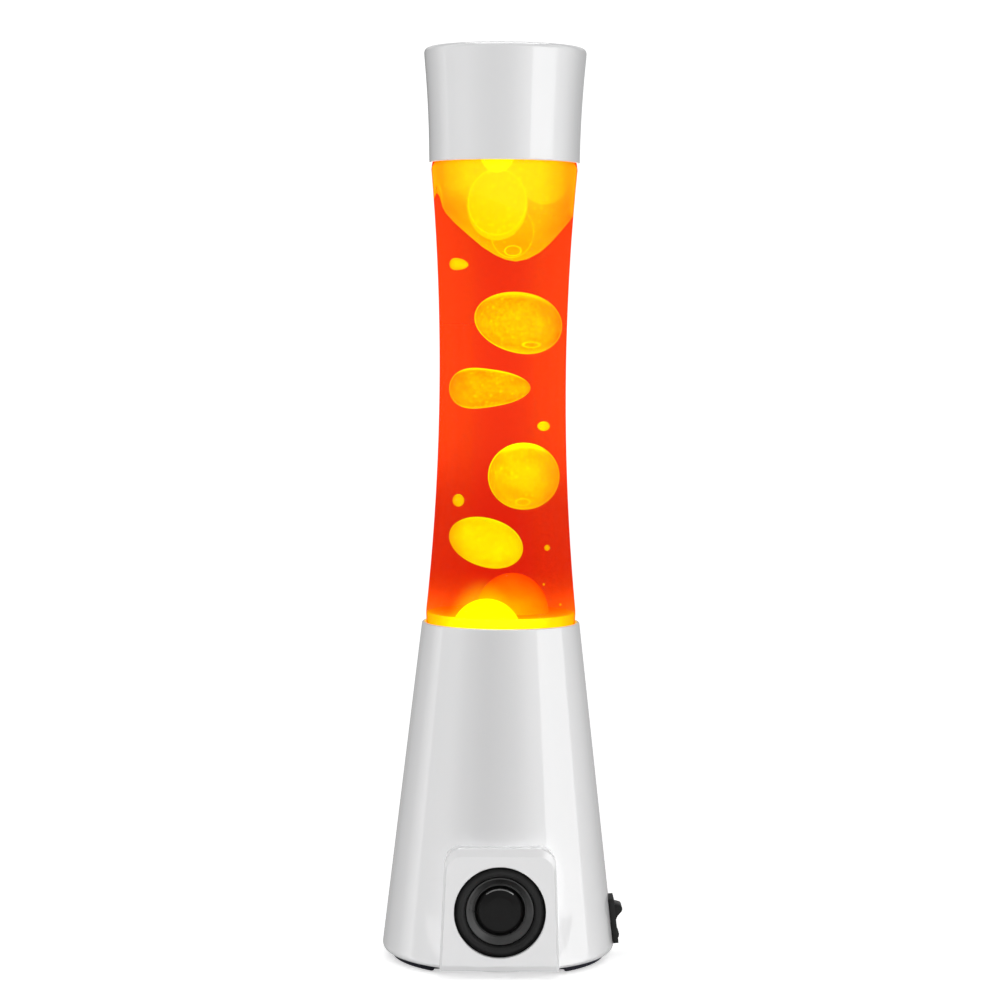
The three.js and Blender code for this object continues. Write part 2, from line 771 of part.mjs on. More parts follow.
// An egg: an ellipsoid whose end at +x is drawn out by the given amount, then leaned and placed.
function egg({ size, lean = 0, taper = 0, at }, grow = 0) {
  const geometry = new THREE.SphereGeometry(1, 14, 9);
  const position = geometry.attributes.position;
  for (let i = 0; i < position.count; i++) {
    const x = position.getX(i);
    const narrow = 1 - taper * (x + 1) * 0.5;
    position.setXYZ(
      i,
      x * (size[0] + grow),
      position.getY(i) * narrow * (size[1] + grow),
      position.getZ(i) * narrow * (size[2] + grow),
    );
  }
  return geometry.rotateY(lean * degrees).translate(...at);
}

const blobs = [
  { size: [18, 14, 13.5], lean: 16, at: [6.1, 0, 287.6] },
  { size: [16, 9, 9.4], lean: -2, taper: 0.6, at: [-5.2, 0, 257.8] },
  { size: [14.5, 14.5, 15.2], at: [8.9, 0, 218.5] },
  { size: [15.2, 12, 11.6], lean: 14, at: [-6.3, 0, 188] },
];
const domes = [
  { size: [14, 11, 13.5], at: [-5.5, -5, 150] },
  { size: [14.5, 9, 14], at: [5, 12, 160] },
];

function waxTop(grow = 0) {
  const tip = 315.3;
  const mass = lathe([
    [0, tip - grow],
    [8 + grow, tip + 2.2],
    [15 + grow, tip + 7],
    [21 + grow, tip + 14],
    [25.4 + grow, tip + 22],
    [27.6 + grow, liquidTop],
    [29.4, liquidTop],
    [29.9, 357],
    [20, 363],
    [0, 363],
  ], 28);
  // The hanging tip leans to the right of the axis.
  const position = mass.attributes.position;
  for (let i = 0; i < position.count; i++) {
    const below = Math.max(0, liquidTop - position.getZ(i)) / (liquidTop - tip);
    position.setX(i, position.getX(i) + 4.6 * below ** 2);
  }
  return mass;
}

function waxPool() {
  const pool = lathe([
    [0, bottleBottom + 4.8],
    [24.8, bottleBottom + 5.4],
    [29.8, 152.8],
    [30.4, poolTop],
    [0, poolTop],
  ], 28);
  return join(pool, ...domes.map((dome) => egg(dome)));
}

function lampLiquid() {
  const skin = glassWall + GAP;
  const levels = [157, 190, 225, 262, 299, 330, liquidTop - GAP];
  const body = lathe([
    [0, poolTop + GAP],
    [30.5, poolTop + GAP],
    ...levels.map((z) => [glassRadius(z) - skin, z]),
    [0, liquidTop - GAP],
  ], 28);
  // Each drop's space has a pin hole to the rear, because the solid has no sealed hollow.
  const vents = blobs.map(({ at }) => rod(0.7, at, [at[0], 40, at[2]], 6));
  const spaces = [...blobs, ...domes].map((wax) => egg(wax, GAP));
  const topSpace = common(waxTop(1.6 * GAP), box([-60, -60, 300], [60, 60, liquidTop - 0.01]));
  return cut(body, topSpace, ...spaces, ...vents);
}
piece("lamp_liquid", lampLiquid(), redLiquid);
piece("wax_top", waxTop(), yellowWax);
piece("wax_pool", waxPool(), yellowWax);
blobs.forEach((blob, i) => piece("wax_drop_" + (i + 1), egg(blob), yellowWax));

// ---- Ring that the bottle stands in ----
piece("seat_ring", ring([
  [22.5, ledgeTop + GAP],
  [32.6, ledgeTop + GAP],
  [32.6, 131],
  [31.4, 131],
  [31.4, bottleBottom - GAP],
  [22.5, bottleBottom - GAP],
], 28), aluminium);

// ---- Top cap ----
function topCap() {
  const levels = [360.5, 376, 392, 408];
  const outerEdge = 2;
  return lathe([
    [0, totalHeight - 2.4],
    [31, totalHeight - 2.4],
    [capRadius(405) - capWall, totalHeight - 5],
    ...levels.slice(1, -1).reverse().map((z) => [capRadius(z) - capWall, z]),
    [capRadius(361) - capWall, 361],
    [33.3, capBottom + 0.1],
    [33.55, capBottom],
    ...levels.map((z) => [capRadius(z), z]),
    ...arc(capRadius(408) - outerEdge, 408, outerEdge, 30, 90, 2),
    [33.2, totalHeight - 0.4],
    [0, totalHeight - 0.5],
  ], 40);
}
piece("top_cap", topCap(), whiteGloss);

export default lamp;
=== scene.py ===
"""Lava lamp with a loudspeaker in its base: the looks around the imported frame.

Lengths in the code are millimetres, and MM turns them into Blender's metres. The axis of the lamp is
x = y = 0, the ground is z = 0, the loudspeaker faces -Y, the switch +X and the mains inlet +Y.
"""

import math
from functools import partial

import bmesh
import bpy
from mathutils import Matrix, Vector


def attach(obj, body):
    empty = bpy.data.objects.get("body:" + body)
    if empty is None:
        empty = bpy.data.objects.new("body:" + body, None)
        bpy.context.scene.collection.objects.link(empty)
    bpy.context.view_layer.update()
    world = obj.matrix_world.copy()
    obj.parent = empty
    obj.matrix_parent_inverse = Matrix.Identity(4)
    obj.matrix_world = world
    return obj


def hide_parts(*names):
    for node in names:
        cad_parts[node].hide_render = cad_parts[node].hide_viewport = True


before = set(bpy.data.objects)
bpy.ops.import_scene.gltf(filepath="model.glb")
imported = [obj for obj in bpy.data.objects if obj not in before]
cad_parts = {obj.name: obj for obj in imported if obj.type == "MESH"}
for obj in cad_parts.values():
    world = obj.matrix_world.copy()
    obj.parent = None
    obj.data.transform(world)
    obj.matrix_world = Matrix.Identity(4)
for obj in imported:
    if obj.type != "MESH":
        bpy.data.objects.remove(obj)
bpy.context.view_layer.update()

MM = 0.001
TAU = 2 * math.pi

# ---- Dimensions shared by several pieces, as in the CAD model ----
BASE_TOP = 152.6
RIM_RADIUS = 35.6
TAPER = 0.1156
SLOPE = math.atan(TAPER)
WALL = 2.3
SPEAKER_Z = 29.7
SWITCH_Z = 16.6
INLET_Z = 17
HOUSING_FRONT = 52.4
HOUSING_TOP = 58
HOUSING_BOTTOM = 3.8
BOTTLE_BOTTOM = 126.1
BOTTLE_TOP = 388
LIQUID_SKIN = 0.45  # from the outside of the glass to the liquid
HANG_SKIN = 0.6  # from the outside of the glass to the hanging wax


def base_radius(z):
    return RIM_RADIUS + TAPER * (BASE_TOP - z)


def glass_radius(z):
    return 28.95 + 1025 - math.sqrt(1025**2 - (z - 262) ** 2)


def cap_radius(z):
    return 33.75 + 9.6e-4 * (z - 355) ** 2


def polar(radius, angle):
    return radius * math.cos(math.radians(angle)), radius * math.sin(math.radians(angle))


# ---- Camera, light and floor ----


def look_from(place, yaw, pitch, roll, focal):
    """A camera at a place in millimetres, turned from +Y towards +X by yaw, down by pitch, and rolled."""
    data = bpy.data.cameras.new("camera")
    data.sensor_width = 36
    data.lens = focal
    data.clip_start = 0.05
    data.clip_end = 60
    camera = bpy.data.objects.new("camera", data)
    turn = (
        Matrix.Rotation(math.radians(-yaw), 4, "Z")
        @ Matrix.Rotation(math.radians(90 - pitch), 4, "X")
        @ Matrix.Rotation(math.radians(roll), 4, "Z")
    )
    camera.matrix_world = Matrix.Translation(Vector(place) * MM) @ turn
    bpy.context.scene.collection.objects.link(camera)
    bpy.context.scene.camera = camera


look_from((-17.9, -1280.5, 288.6), yaw=0.766, pitch=3.62, roll=0.4735, focal=102.17)
bpy.context.scene.view_settings.view_transform = "Standard"


def node(tree, kind, **settings):
    """A new shader node; a setting that starts with in_ is the value of that input."""
    made = tree.nodes.new("ShaderNode" + kind)
    for key, value in settings.items():
        if key.startswith("in_"):
            made.inputs[key[3:].replace("_", " ")].default_value = value
        else:
            setattr(made, key, value)
    return made


def wire(out, into):
    into.id_data.links.new(out, into)


def math_node(tree, operation, first, second=0):
    made = node(tree, "Math", operation=operation)
    for socket, value in zip(made.inputs, (first, second)):
        if isinstance(value, (int, float)):
            socket.default_value = value
        else:
            wire(value, socket)
    return made.outputs[0]


def ranged(tree, value, start, end, low=0.0, high=1.0, kind="LINEAR"):
    """A value mapped from the range start to end onto the range low to high, and held at both ends."""
    made = node(tree, "MapRange", interpolation_type=kind, in_From_Min=start, in_From_Max=end,
                in_To_Min=low, in_To_Max=high)
    wire(value, made.inputs["Value"])
    return made.outputs[0]


step_between = partial(ranged, kind="SMOOTHSTEP")


def spread(tree, value, low, high):
    """Maps 0.3 to 0.7 of a noise onto the range from low to high."""
    return ranged(tree, value, 0.3, 0.7, low, high)


def blend_colours(tree, factor, first, second, **settings):
    """A mix of two colours, each given as numbers or as another node's output."""
    mix = node(tree, "Mix", data_type="RGBA", **settings)
    wire(factor, mix.inputs[0])
    for socket, colour in ((mix.inputs[6], first), (mix.inputs[7], second)):
        if isinstance(colour, tuple):
            socket.default_value = (*colour, 1)
        else:
            wire(colour, socket)
    return mix.outputs[2]


def colour_ramp(tree, share, table):
    """A ramp of straight lines between the (place, colour) pairs of a table."""
    ramp = node(tree, "ValToRGB")
    ramp.color_ramp.interpolation = "LINEAR"
    stops = ramp.color_ramp.elements
    while len(stops) > 1:
        stops.remove(stops[-1])
    for i, (place, colour) in enumerate(table):
        stop = stops[0] if i == 0 else stops.new(place)
        stop.position = place
        stop.color = (*colour, 1)
    wire(share, ramp.inputs[0])
    return ramp.outputs["Color"]


def object_space(tree):
    return node(tree, "TexCoord").outputs["Object"]


def axes_of(tree, vector):
    split = node(tree, "SeparateXYZ")
    wire(vector, split.inputs[0])
    return split.outputs


def grey(value):
    return (value, value, value)


def object_from(name, bm):
    """A new object in the scene, whose mesh takes over bm."""
    mesh = bpy.data.meshes.new(name)
    bm.to_mesh(mesh)
    bm.free()
    made = bpy.data.objects.new(name, mesh)
    bpy.context.scene.collection.objects.link(made)
    return made


def bridge(bm, low, high):
    """Faces between two closed rings of as many vertices."""
    for k in range(len(low)):
        n = (k + 1) % len(low)
        bm.faces.new((low[k], low[n], high[n], high[k]))


def seen_directly(tree):
    """1 for a ray from the camera, or one that has come straight through glass."""
    path = node(tree, "LightPath")
    return math_node(tree, "MAXIMUM", path.outputs["Is Camera Ray"], path.outputs["Is Transmission Ray"])


STUDIO_LIGHT = 0.645  # even light from all round
FLOOR_WHITE = 0.9
FLOOR_LIFT = 0.53  # keeps the shadow on the floor faint
BACKDROP = STUDIO_LIGHT * FLOOR_WHITE + FLOOR_LIFT  # what shows behind the lamp, just like the floor
FLOOR_REACH = 200  # metres


def make_world():
    world = bpy.data.worlds.new("studio")
    bpy.context.scene.world = world
    world.use_nodes = True
    tree = world.node_tree
    tree.nodes.clear()
    mix = node(tree, "MixShader")
    wire(seen_directly(tree), mix.inputs[0])
    for i, strength in enumerate((STUDIO_LIGHT, BACKDROP)):
        light = node(tree, "Background", in_Color=(1, 1, 1, 1), in_Strength=strength)
        wire(light.outputs[0], mix.inputs[i + 1])
    wire(mix.outputs[0], node(tree, "OutputWorld").inputs[0])


make_world()


def bare_material(name):
    """A material without a shader, and its node tree."""
    material = bpy.data.materials.new(name)
    material.use_nodes = True
    material.node_tree.nodes.clear()
    return material, material.node_tree


def stage_object(name, bm, material):
    made = object_from(name, bm)
    made.data.materials.append(material)
    return made


def make_floor():
    """A white floor that runs into the backdrop, with only a faint shadow on it."""
    material, tree = bare_material("floor")
    diffuse = node(tree, "BsdfDiffuse", in_Color=(*grey(FLOOR_WHITE), 1))
    glow = node(tree, "Emission")
    wire(math_node(tree, "MULTIPLY", seen_directly(tree), FLOOR_LIFT), glow.inputs["Strength"])
    both = node(tree, "AddShader")
    wire(diffuse.outputs[0], both.inputs[0])
    wire(glow.outputs[0], both.inputs[1])
    wire(both.outputs[0], node(tree, "OutputMaterial").inputs["Surface"])
    bm = bmesh.new()
    bmesh.ops.create_grid(bm, x_segments=1, y_segments=1, size=FLOOR_REACH)
    stage_object("floor", bm, material).visible_glossy = False


make_floor()

# Brightness of the light tent by direction: degrees from the camera's side towards +X, and radiance.
# The low table is what the base mirrors, the high one what the cap mirrors, the roof what bevels mirror.
TENT_LOW = [
    (-162, 0.4), (-144, 0.4), (-126, 0.85), (-114, 1.5), (-102, 3.3), (-96, 4.4), (-92, 4.9), (-90, 3.8),
    (-72, 4.5), (-60, 4.6), (-42, 3.3), (-24, 2.3), (-14, 2.1), (0, 2.7), (18, 3.85), (36, 5.9),
    (51, 6.9), (52, 9.4), (66, 9.0), (78, 8.2), (90, 7.2), (95, 6.8), (96, 4.5),
    (104, 3.3), (114, 2.2), (126, 1.2), (138, 0.6), (156, 0.45),
]
TENT_HIGH = [
    (-156, 0.15), (-138, 0.35), (-126, 0.75), (-114, 1.55), (-102, 3.2), (-93, 4.5), (-91, 3.9), (-72, 4.95),
    (-57, 5.4), (-36, 4.55), (-18, 4.1), (0, 4.4), (12, 5.2), (24, 6.5), (37, 7.9), (38, 10.2), (48, 10.4),
    (66, 9.7), (75, 8.9), (76, 7.0), (90, 5.15), (102, 3.3), (114, 1.7), (126, 0.75), (140, 0.4), (156, 0.4),
]
TENT_ROOF = [(-125, 0.9), (-95, 4.2), (95, 4.2), (125, 0.9)]
# Everything about the tent and the sheets is in metres.
LOW_TO_HIGH = (0.24, 0.33)
HIGH_TO_ROOF = (0.47, 0.6)
TENT_RADIUS = 0.5
TENT_SPAN = (-0.6, 1.1)
TENT_SIDES = 180
TENT_STRENGTH = 10.4


def reflections_only(obj):
    obj.visible_camera = False
    obj.visible_diffuse = False
    obj.visible_transmission = False
    obj.visible_volume_scatter = False
    obj.visible_shadow = False


def tent_ramp(tree, share, table):
    return colour_ramp(tree, share, [((a + 180) / 360, grey(value / TENT_STRENGTH)) for a, value in table])


def make_tent():
    """A round light tent that only reflections see: it gives the glossy plastic its long bands."""
    material, tree = bare_material("tent")
    x, y, z = axes_of(tree, object_space(tree))
    angle = math_node(tree, "ARCTAN2", x, math_node(tree, "MULTIPLY", y, -1))
    share = math_node(tree, "ADD", math_node(tree, "DIVIDE", angle, TAU), 0.5)
    low, high, roof = (tent_ramp(tree, share, table) for table in (TENT_LOW, TENT_HIGH, TENT_ROOF))
    walls = blend_colours(tree, step_between(tree, z, *LOW_TO_HIGH), low, high)
    glow = node(tree, "Emission", in_Strength=TENT_STRENGTH)
    wire(blend_colours(tree, step_between(tree, z, *HIGH_TO_ROOF), walls, roof),
            glow.inputs["Color"])
    wire(glow.outputs[0], node(tree, "OutputMaterial").inputs["Surface"])
    bm = bmesh.new()
    circle = [polar(TENT_RADIUS, 360 * k / TENT_SIDES) for k in range(TENT_SIDES)]
    top, bottom = ([bm.verts.new((*place, level)) for place in circle] for level in reversed(TENT_SPAN))
    bridge(bm, top, bottom)
    reflections_only(stage_object("tent", bm, material))


def glowing_sheet(name, corners, level, strength):
    """A flat bright sheet, lying level, that only reflections see."""
    material, tree = bare_material(name)
    glow = node(tree, "Emission", in_Strength=strength)
    wire(glow.outputs[0], node(tree, "OutputMaterial").inputs["Surface"])
    bm = bmesh.new()
    (x0, y0), (x1, y1) = corners
    bm.faces.new([bm.verts.new((x, y, level)) for x, y in ((x0, y0), (x1, y0), (x1, y1), (x0, y1))])
    reflections_only(stage_object(name, bm, material))


make_tent()
glowing_sheet("bounce_card", ((-0.3, -0.49), (0.3, -0.077)), 0.0005, 6.0)
glowing_sheet("overhead_softbox", ((-0.34, -0.34), (0.34, 0.34)), 1.05, 8.0)

# ---- Materials ----


def new_material(name, **values):
    """A material, its node tree and its shader, with some of the shader's inputs set."""
    material = bpy.data.materials.new(name)
    material.use_nodes = True
    tree = material.node_tree
    shader = tree.nodes["Principled BSDF"]
    for key, value in values.items():
        shader.inputs[key.replace("_", " ")].default_value = value
    return material, tree, shader


def speckle(tree, scale, detail=3, roughness=0.55, stretch=None):
    """A noise texture in the object's own space, if wanted stretched along one axis."""
    place = object_space(tree)
    if stretch:
        mapping = node(tree, "Mapping", in_Scale=stretch)
        wire(place, mapping.inputs["Vector"])
        place = mapping.outputs[0]
    noise = node(tree, "TexNoise", in_Scale=scale, in_Detail=detail, in_Roughness=roughness)
    wire(place, noise.inputs["Vector"])
    return noise.outputs["Fac"]


def finish_of(name, dark, light, roughness, scale=60, metallic=0, bump=0.0, bump_scale=900,
              stretch=None, specular=0.5):
    """A material whose colour and roughness wander a little, with a fine grain in its bump."""
    material, tree, shader = new_material(name, Metallic=metallic, Specular_IOR_Level=specular)
    wander = speckle(tree, scale, stretch=stretch)
    share = spread(tree, wander, 0, 1)
    wire(blend_colours(tree, share, dark, light), shader.inputs["Base Color"])
    wire(spread(tree, wander, *roughness), shader.inputs["Roughness"])
    if bump:
        grain = node(tree, "Bump", in_Strength=bump, in_Distance=0.0002)
        wire(speckle(tree, bump_scale, stretch=stretch), grain.inputs["Height"])
        wire(grain.outputs[0], shader.inputs["Normal"])
    return material


white_plastic = finish_of("white_plastic", (0.845, 0.848, 0.855), (0.86, 0.862, 0.868), (0.035, 0.05),
                          scale=25, bump=0.015, bump_scale=350)
black_plastic = finish_of("black_plastic", grey(0.004), grey(0.007), (0.34, 0.46), scale=90,
                          bump=0.2, bump_scale=2600, specular=0.06)
rocker_black = finish_of("rocker_black", grey(0.003), grey(0.005), (0.22, 0.3), scale=70, bump=0.08,
                         bump_scale=1500, specular=0.05)
cover_black = finish_of("cover_black", (0.001, 0.001, 0.003), (0.002, 0.002, 0.006), (0.4, 0.55), scale=60,
                        bump=0.3, bump_scale=1800, specular=0.02)
foot_rubber = finish_of("foot_rubber", grey(0.006), grey(0.012), (0.75, 0.9), scale=150, bump=0.4,
                        bump_scale=1500, specular=0.1)
foam_rubber = finish_of("foam_rubber", grey(0.012), grey(0.03), (0.9, 1.0), scale=900, bump=0.8,
                        bump_scale=1800, specular=0.1)
surround_rubber = finish_of("surround_rubber", grey(0.008), grey(0.012), (0.42, 0.55), scale=180,
                            bump=0.1, bump_scale=2200, specular=0.045)
dust_cap_black = finish_of("dust_cap_black", grey(0.0105), grey(0.0125), (0.2, 0.28), scale=120,
                           bump=0.02, bump_scale=1500, specular=0.02)
# A glossier copy of the dust cap's black, for a painted highlight on the top of its rim only.
dust_cap_highlight = finish_of("dust_cap_highlight", grey(0.0085), grey(0.0105), (0.12, 0.18), scale=120,
                           bump=0.02, bump_scale=1500, specular=0.5)
cone_paper = finish_of("cone_paper", grey(0.009), grey(0.015), (0.26, 0.34), scale=260, bump=0.2,
                       bump_scale=1300, specular=0.13)
copper = finish_of("copper", (0.62, 0.26, 0.12), (0.8, 0.38, 0.2), (0.25, 0.4), scale=80, metallic=1)
ferrite = finish_of("ferrite", grey(0.035), grey(0.06), (0.55, 0.75), scale=120, bump=0.3)
steel = finish_of("steel", (0.55, 0.56, 0.58), (0.68, 0.69, 0.7), (0.25, 0.4), scale=60, metallic=1,
                  bump=0.1, bump_scale=500)
screw_steel = finish_of("screw_steel", (0.35, 0.36, 0.38), (0.5, 0.5, 0.52), (0.3, 0.45), scale=200,
                        metallic=1)
aluminium = finish_of("aluminium", (0.74, 0.75, 0.77), (0.85, 0.86, 0.87), (0.28, 0.42), scale=40,
                      metallic=1, bump=0.06, bump_scale=400, stretch=(1, 1, 12))
brass = finish_of("brass", (0.62, 0.44, 0.16), (0.8, 0.62, 0.28), (0.22, 0.4), scale=90, metallic=1)
ceramic = finish_of("ceramic", (0.82, 0.79, 0.72), (0.88, 0.86, 0.8), (0.25, 0.4), scale=80, bump=0.1,
                    bump_scale=300)
lead_white = finish_of("lead_white", grey(0.62), grey(0.72), (0.4, 0.55), scale=120, bump=0.1)
lead_red = finish_of("lead_red", (0.34, 0.02, 0.015), (0.45, 0.035, 0.025), (0.4, 0.55), scale=120)


def make_circuit_board():
    """Green lacquer over copper tracks laid out on a fine grid."""
    material, tree, shader = new_material("circuit_board")
    tracks = node(tree, "TexBrick", in_Scale=260, in_Color1=(0.008, 0.10, 0.035, 1),
                  in_Color2=(0.012, 0.14, 0.05, 1), in_Mortar=(0.05, 0.26, 0.09, 1))
    wire(object_space(tree), tracks.inputs["Vector"])
    wire(tracks.outputs["Color"], shader.inputs["Base Color"])
    wire(spread(tree, speckle(tree, 200), 0.25, 0.4), shader.inputs["Roughness"])
    return material


circuit_board = make_circuit_board()


def make_clear_glass(name, coat, face_on=(1, 1, 1), edge_on=(1, 1, 1)):
    """Clear glass with no bending of the view behind it, so only its gloss and its tint show."""
    material, tree, shader = new_material(
        name, Transmission_Weight=1, IOR=1.0, Roughness=0, Coat_Weight=coat, Coat_IOR=1.5,
                Coat_Roughness=0.03)
    facing = node(tree, "LayerWeight", in_Blend=0.5).outputs["Facing"]
    wire(blend_colours(tree, facing, face_on, edge_on), shader.inputs["Base Color"])
    return material


bottle_glass = make_clear_glass("bottle_glass", 0.008)
neck_glass = make_clear_glass("neck_glass", 1.0, (0.80, 0.87, 0.85), (0.42, 0.5, 0.48))


def make_bulb_glass():
    """The frosted front of a reflector bulb."""
    material, tree, shader = new_material(
        "bulb_glass", Emission_Color=(1, 0.82, 0.55, 1), Emission_Strength=0.7)
    frost = spread(tree, speckle(tree, 500), 0, 1)
    colour = blend_colours(tree, frost, (0.80, 0.79, 0.76), (0.92, 0.91, 0.88))
    wire(colour, shader.inputs["Base Color"])
    wire(spread(tree, speckle(tree, 900), 0.3, 0.45), shader.inputs["Roughness"])
    return material


bulb_frost = make_bulb_glass()

# How much of each colour the liquid swallows per millimetre, and its glow by height, which is painted light
# standing in for the bulb's light in the liquid.
SWALLOW = (0.0123, 0.061, 0.091)
LIQUID_DENSITY = 100  # per metre
LIQUID_GLOW = [
    (154, (0.40, 0.14, 0.0)), (158, (0.36, 0.09, 0.0)), (162, (0.32, 0.05, 0.0)), (168, (0.26, 0.017, 0.0)),
    (178, (0.2, 0.0008, 0.0008)), (205, (0.2, 0.0008, 0.0008)), (228, (0.23, 0.0012, 0.001)),
    (262, (0.27, 0.0018, 0.001)), (320, (0.24, 0.0014, 0.0012)), (363, (0.2, 0.001, 0.001)),
]

# What passes the liquid's surface, from seen squarely (0) to seen edge on (1).
LIQUID_EDGE = [
    (0.0, (1, 1, 1)), (0.145, (0.98, 0.88, 0.4)), (0.277, (0.94, 0.57, 0.2)), (0.473, (0.88, 0.31, 0.07)),
    (0.64, (0.85, 0.18, 0.03)), (0.81, (0.82, 0.09, 0.01)), (1.0, (0.8, 0.05, 0.004)),
]


def ellipse_reach(tree, centre, half):
    """Distance from the centre of an ellipse in x and z, counted in its own half sizes."""
    mapping = node(tree, "Mapping", vector_type="TEXTURE",
                   in_Location=(centre[0] * MM, 0, centre[1] * MM),
                           in_Scale=(half[0] * MM, 1000, half[1] * MM))
    wire(object_space(tree), mapping.inputs["Vector"])
    reach = node(tree, "VectorMath", operation="LENGTH")
    wire(mapping.outputs[0], reach.inputs[0])
    return reach.outputs["Value"]


def make_liquid():
    """Red liquid: it swallows green and blue with depth, and is tinted more at its edges. Its red glow,
    which changes with height, is painted light standing in for the bulb below. It is darker between the
    pool and the middle of the bottle, a painted shade band, and brighter over the near dome, a painted glow."""
    material, tree, shader = new_material(
        "red_liquid", Transmission_Weight=1, IOR=1.0, Roughness=0, Emission_Strength=1)
    facing = node(tree, "LayerWeight", in_Blend=0.5).outputs["Facing"]
    edge = colour_ramp(tree, facing, LIQUID_EDGE)
    height = axes_of(tree, object_space(tree))["Z"]
    # Painted shade: a darker band between the pool and the middle of the bottle.
    shade_band = math_node(tree, "MULTIPLY", step_between(tree, height, 240 * MM, 200 * MM),
                     step_between(tree, height, 158 * MM, 172 * MM))
    shaded_tint = blend_colours(tree, facing, (0.88, 0.55, 0.7), (0.5, 0.4, 0.55))
    wire(blend_colours(tree, shade_band, edge, shaded_tint, blend_type="MULTIPLY"), shader.inputs["Base Color"])
    # Painted light: the liquid's red glow by height.
    low, high = LIQUID_GLOW[0][0], LIQUID_GLOW[-1][0]
    by_height = [((level - low) / (high - low), colour) for level, colour in LIQUID_GLOW]
    slow_glow = colour_ramp(tree, ranged(tree, height, low * MM, high * MM), by_height)
    # Painted glow: the liquid is brighter and more orange round the near wax dome.
    glow_round_dome = step_between(tree, ellipse_reach(tree, (-8.5, 146), (9, 15)), 2.0, 0.9, 0, 0.5)
    glow = blend_colours(tree, glow_round_dome, slow_glow, (0.4, 1.0, 0.0), blend_type="ADD", clamp_factor=False)
    wire(glow, shader.inputs["Emission Color"])
    passed = [1 - swallow * 1000 / LIQUID_DENSITY for swallow in SWALLOW]
    depth = node(tree, "VolumeAbsorption", in_Color=(*passed, 1), in_Density=LIQUID_DENSITY)
    wire(depth.outputs[0], tree.nodes["Material Output"].inputs["Volume"])
    return material


red_liquid = make_liquid()
WAX_STRENGTH = 5
BOTTLE_REACH = 0.0315  # from the axis to the wall, in metres


def make_wax(name, dim, bright, crown=0.5, belly=0.3, rim=0.6, specks=0.15, slope=None, painted_glow_spots=(), red=0.9,
             deep=True, flank_shade=0.45, rim_width=0.3, rim_upright=False):
    """Wax that glows: the glow is painted light standing in for the bulb's light, as wax is no lamp. dim and
    bright are its green seen through the liquid, between which a slow noise wanders; slope is (z, z, gain)
    for a painted glow that grows with height. crown, belly and rim are painted highlights that lift the top,
    the bottom and the outline of a drop; rim_upright keeps the rim to upright flanks. painted_glow_spots are
    painted bright patches, ellipses in x and z: centre, half sizes, brightness and the width of a ring, 0
    for a filled one. flank_shade is painted shade that dims the flanks that turn away. When deep, wax
    further in glows more, because the liquid in front of it swallows green."""
    material, tree, shader = new_material(
        name, Base_Color=(0.25, 0.16, 0.004, 1), Specular_IOR_Level=0.05, Emission_Strength=WAX_STRENGTH)
    calc = partial(math_node, tree)
    step = partial(step_between, tree)
    wire(spread(tree, speckle(tree, 300), 0.35, 0.5), shader.inputs["Roughness"])
    slow = speckle(tree, 110, detail=2, roughness=0.5)
    fine = speckle(tree, 640, detail=3, roughness=0.7)
    wander = calc("ADD", calc("MULTIPLY", slow, 0.45), calc("MULTIPLY", fine, 0.55))
    value = ranged(tree, wander, 0.38, 0.62, dim, bright)
    x, y, z = axes_of(tree, object_space(tree))
    # Painted light: the glow changes with height between the two levels of slope.
    if slope:
        start, end, gain = slope
        value = calc("MULTIPLY", value, step(z, start * MM, end * MM, 1.0, gain))
    # Painted bright patches and rings, laid over the glow.
    for centre, half, brightness, ring in painted_glow_spots:
        reach = ellipse_reach(tree, centre, half)
        inside = step(reach, 1.04, 0.97, 0, brightness)
        if ring:
            inside = calc("MULTIPLY", inside, step(reach, 1 - 2 * ring, 1 - ring))
        lit = calc("ADD", inside, calc("MULTIPLY", calc("SUBTRACT", fine, 0.5), 0.25))
        value = calc("MAXIMUM", value, lit)
    if specks:
        cells = node(tree, "TexVoronoi", in_Scale=430)
        wire(object_space(tree), cells.inputs["Vector"])
        spot = step(cells.outputs["Distance"], 0.40, 0.22, 0, specks)
        pick = node(tree, "SeparateColor")
        wire(cells.outputs["Color"], pick.inputs[0])
        value = calc("ADD", value, calc("MULTIPLY", spot, step(pick.outputs[0], 0.55, 0.65)))
    normal = axes_of(tree, node(tree, "NewGeometry").outputs["Normal"])
    aside = calc("ABSOLUTE", normal["Y"])
    # Painted shade: the flanks that turn away from the front glow less.
    if flank_shade:
        value = calc("MULTIPLY", value, calc("ADD", calc("MULTIPLY", aside, flank_shade), 1 - flank_shade))
    # Painted highlights: crown on the top, belly on the bottom, rim along the outline of a drop.
    near_edge = step(aside, 0.62, 0.2)
    up = calc("MULTIPLY", near_edge, step(normal["Z"], 0.6, 0.97, 0, crown))
    down = calc("MULTIPLY", near_edge, step(normal["Z"], -0.6, -0.97, 0, belly))
    outline = step(aside, rim_width, 0.10, 0, rim)
    if rim_upright:
        outline = calc("MULTIPLY", outline, step(calc("ABSOLUTE", normal["Z"]), 0.5, 0.15, 0.12, 1))
    value = calc("ADD", value, calc("MAXIMUM", calc("MAXIMUM", up, down), outline))
    if deep:
        chord = calc("SUBTRACT", BOTTLE_REACH**2, calc("POWER", x, 2))
        wall = calc("SQRT", calc("MAXIMUM", chord))
        depth = calc("MAXIMUM", calc("SUBTRACT", wall, calc("ABSOLUTE", y)))
        value = calc("MULTIPLY", value, calc("EXPONENT", calc("MULTIPLY", depth, SWALLOW[1] * 1000)))
    # The emission colour below is painted light: the wax's glow stands in for the bulb's light.
    colour = node(tree, "CombineColor", in_Red=red / WAX_STRENGTH)
    wire(calc("DIVIDE", value, WAX_STRENGTH), colour.inputs[1])
    wire(colour.outputs[0], shader.inputs["Emission Color"])
    return material


# ---- Mesh helpers ----


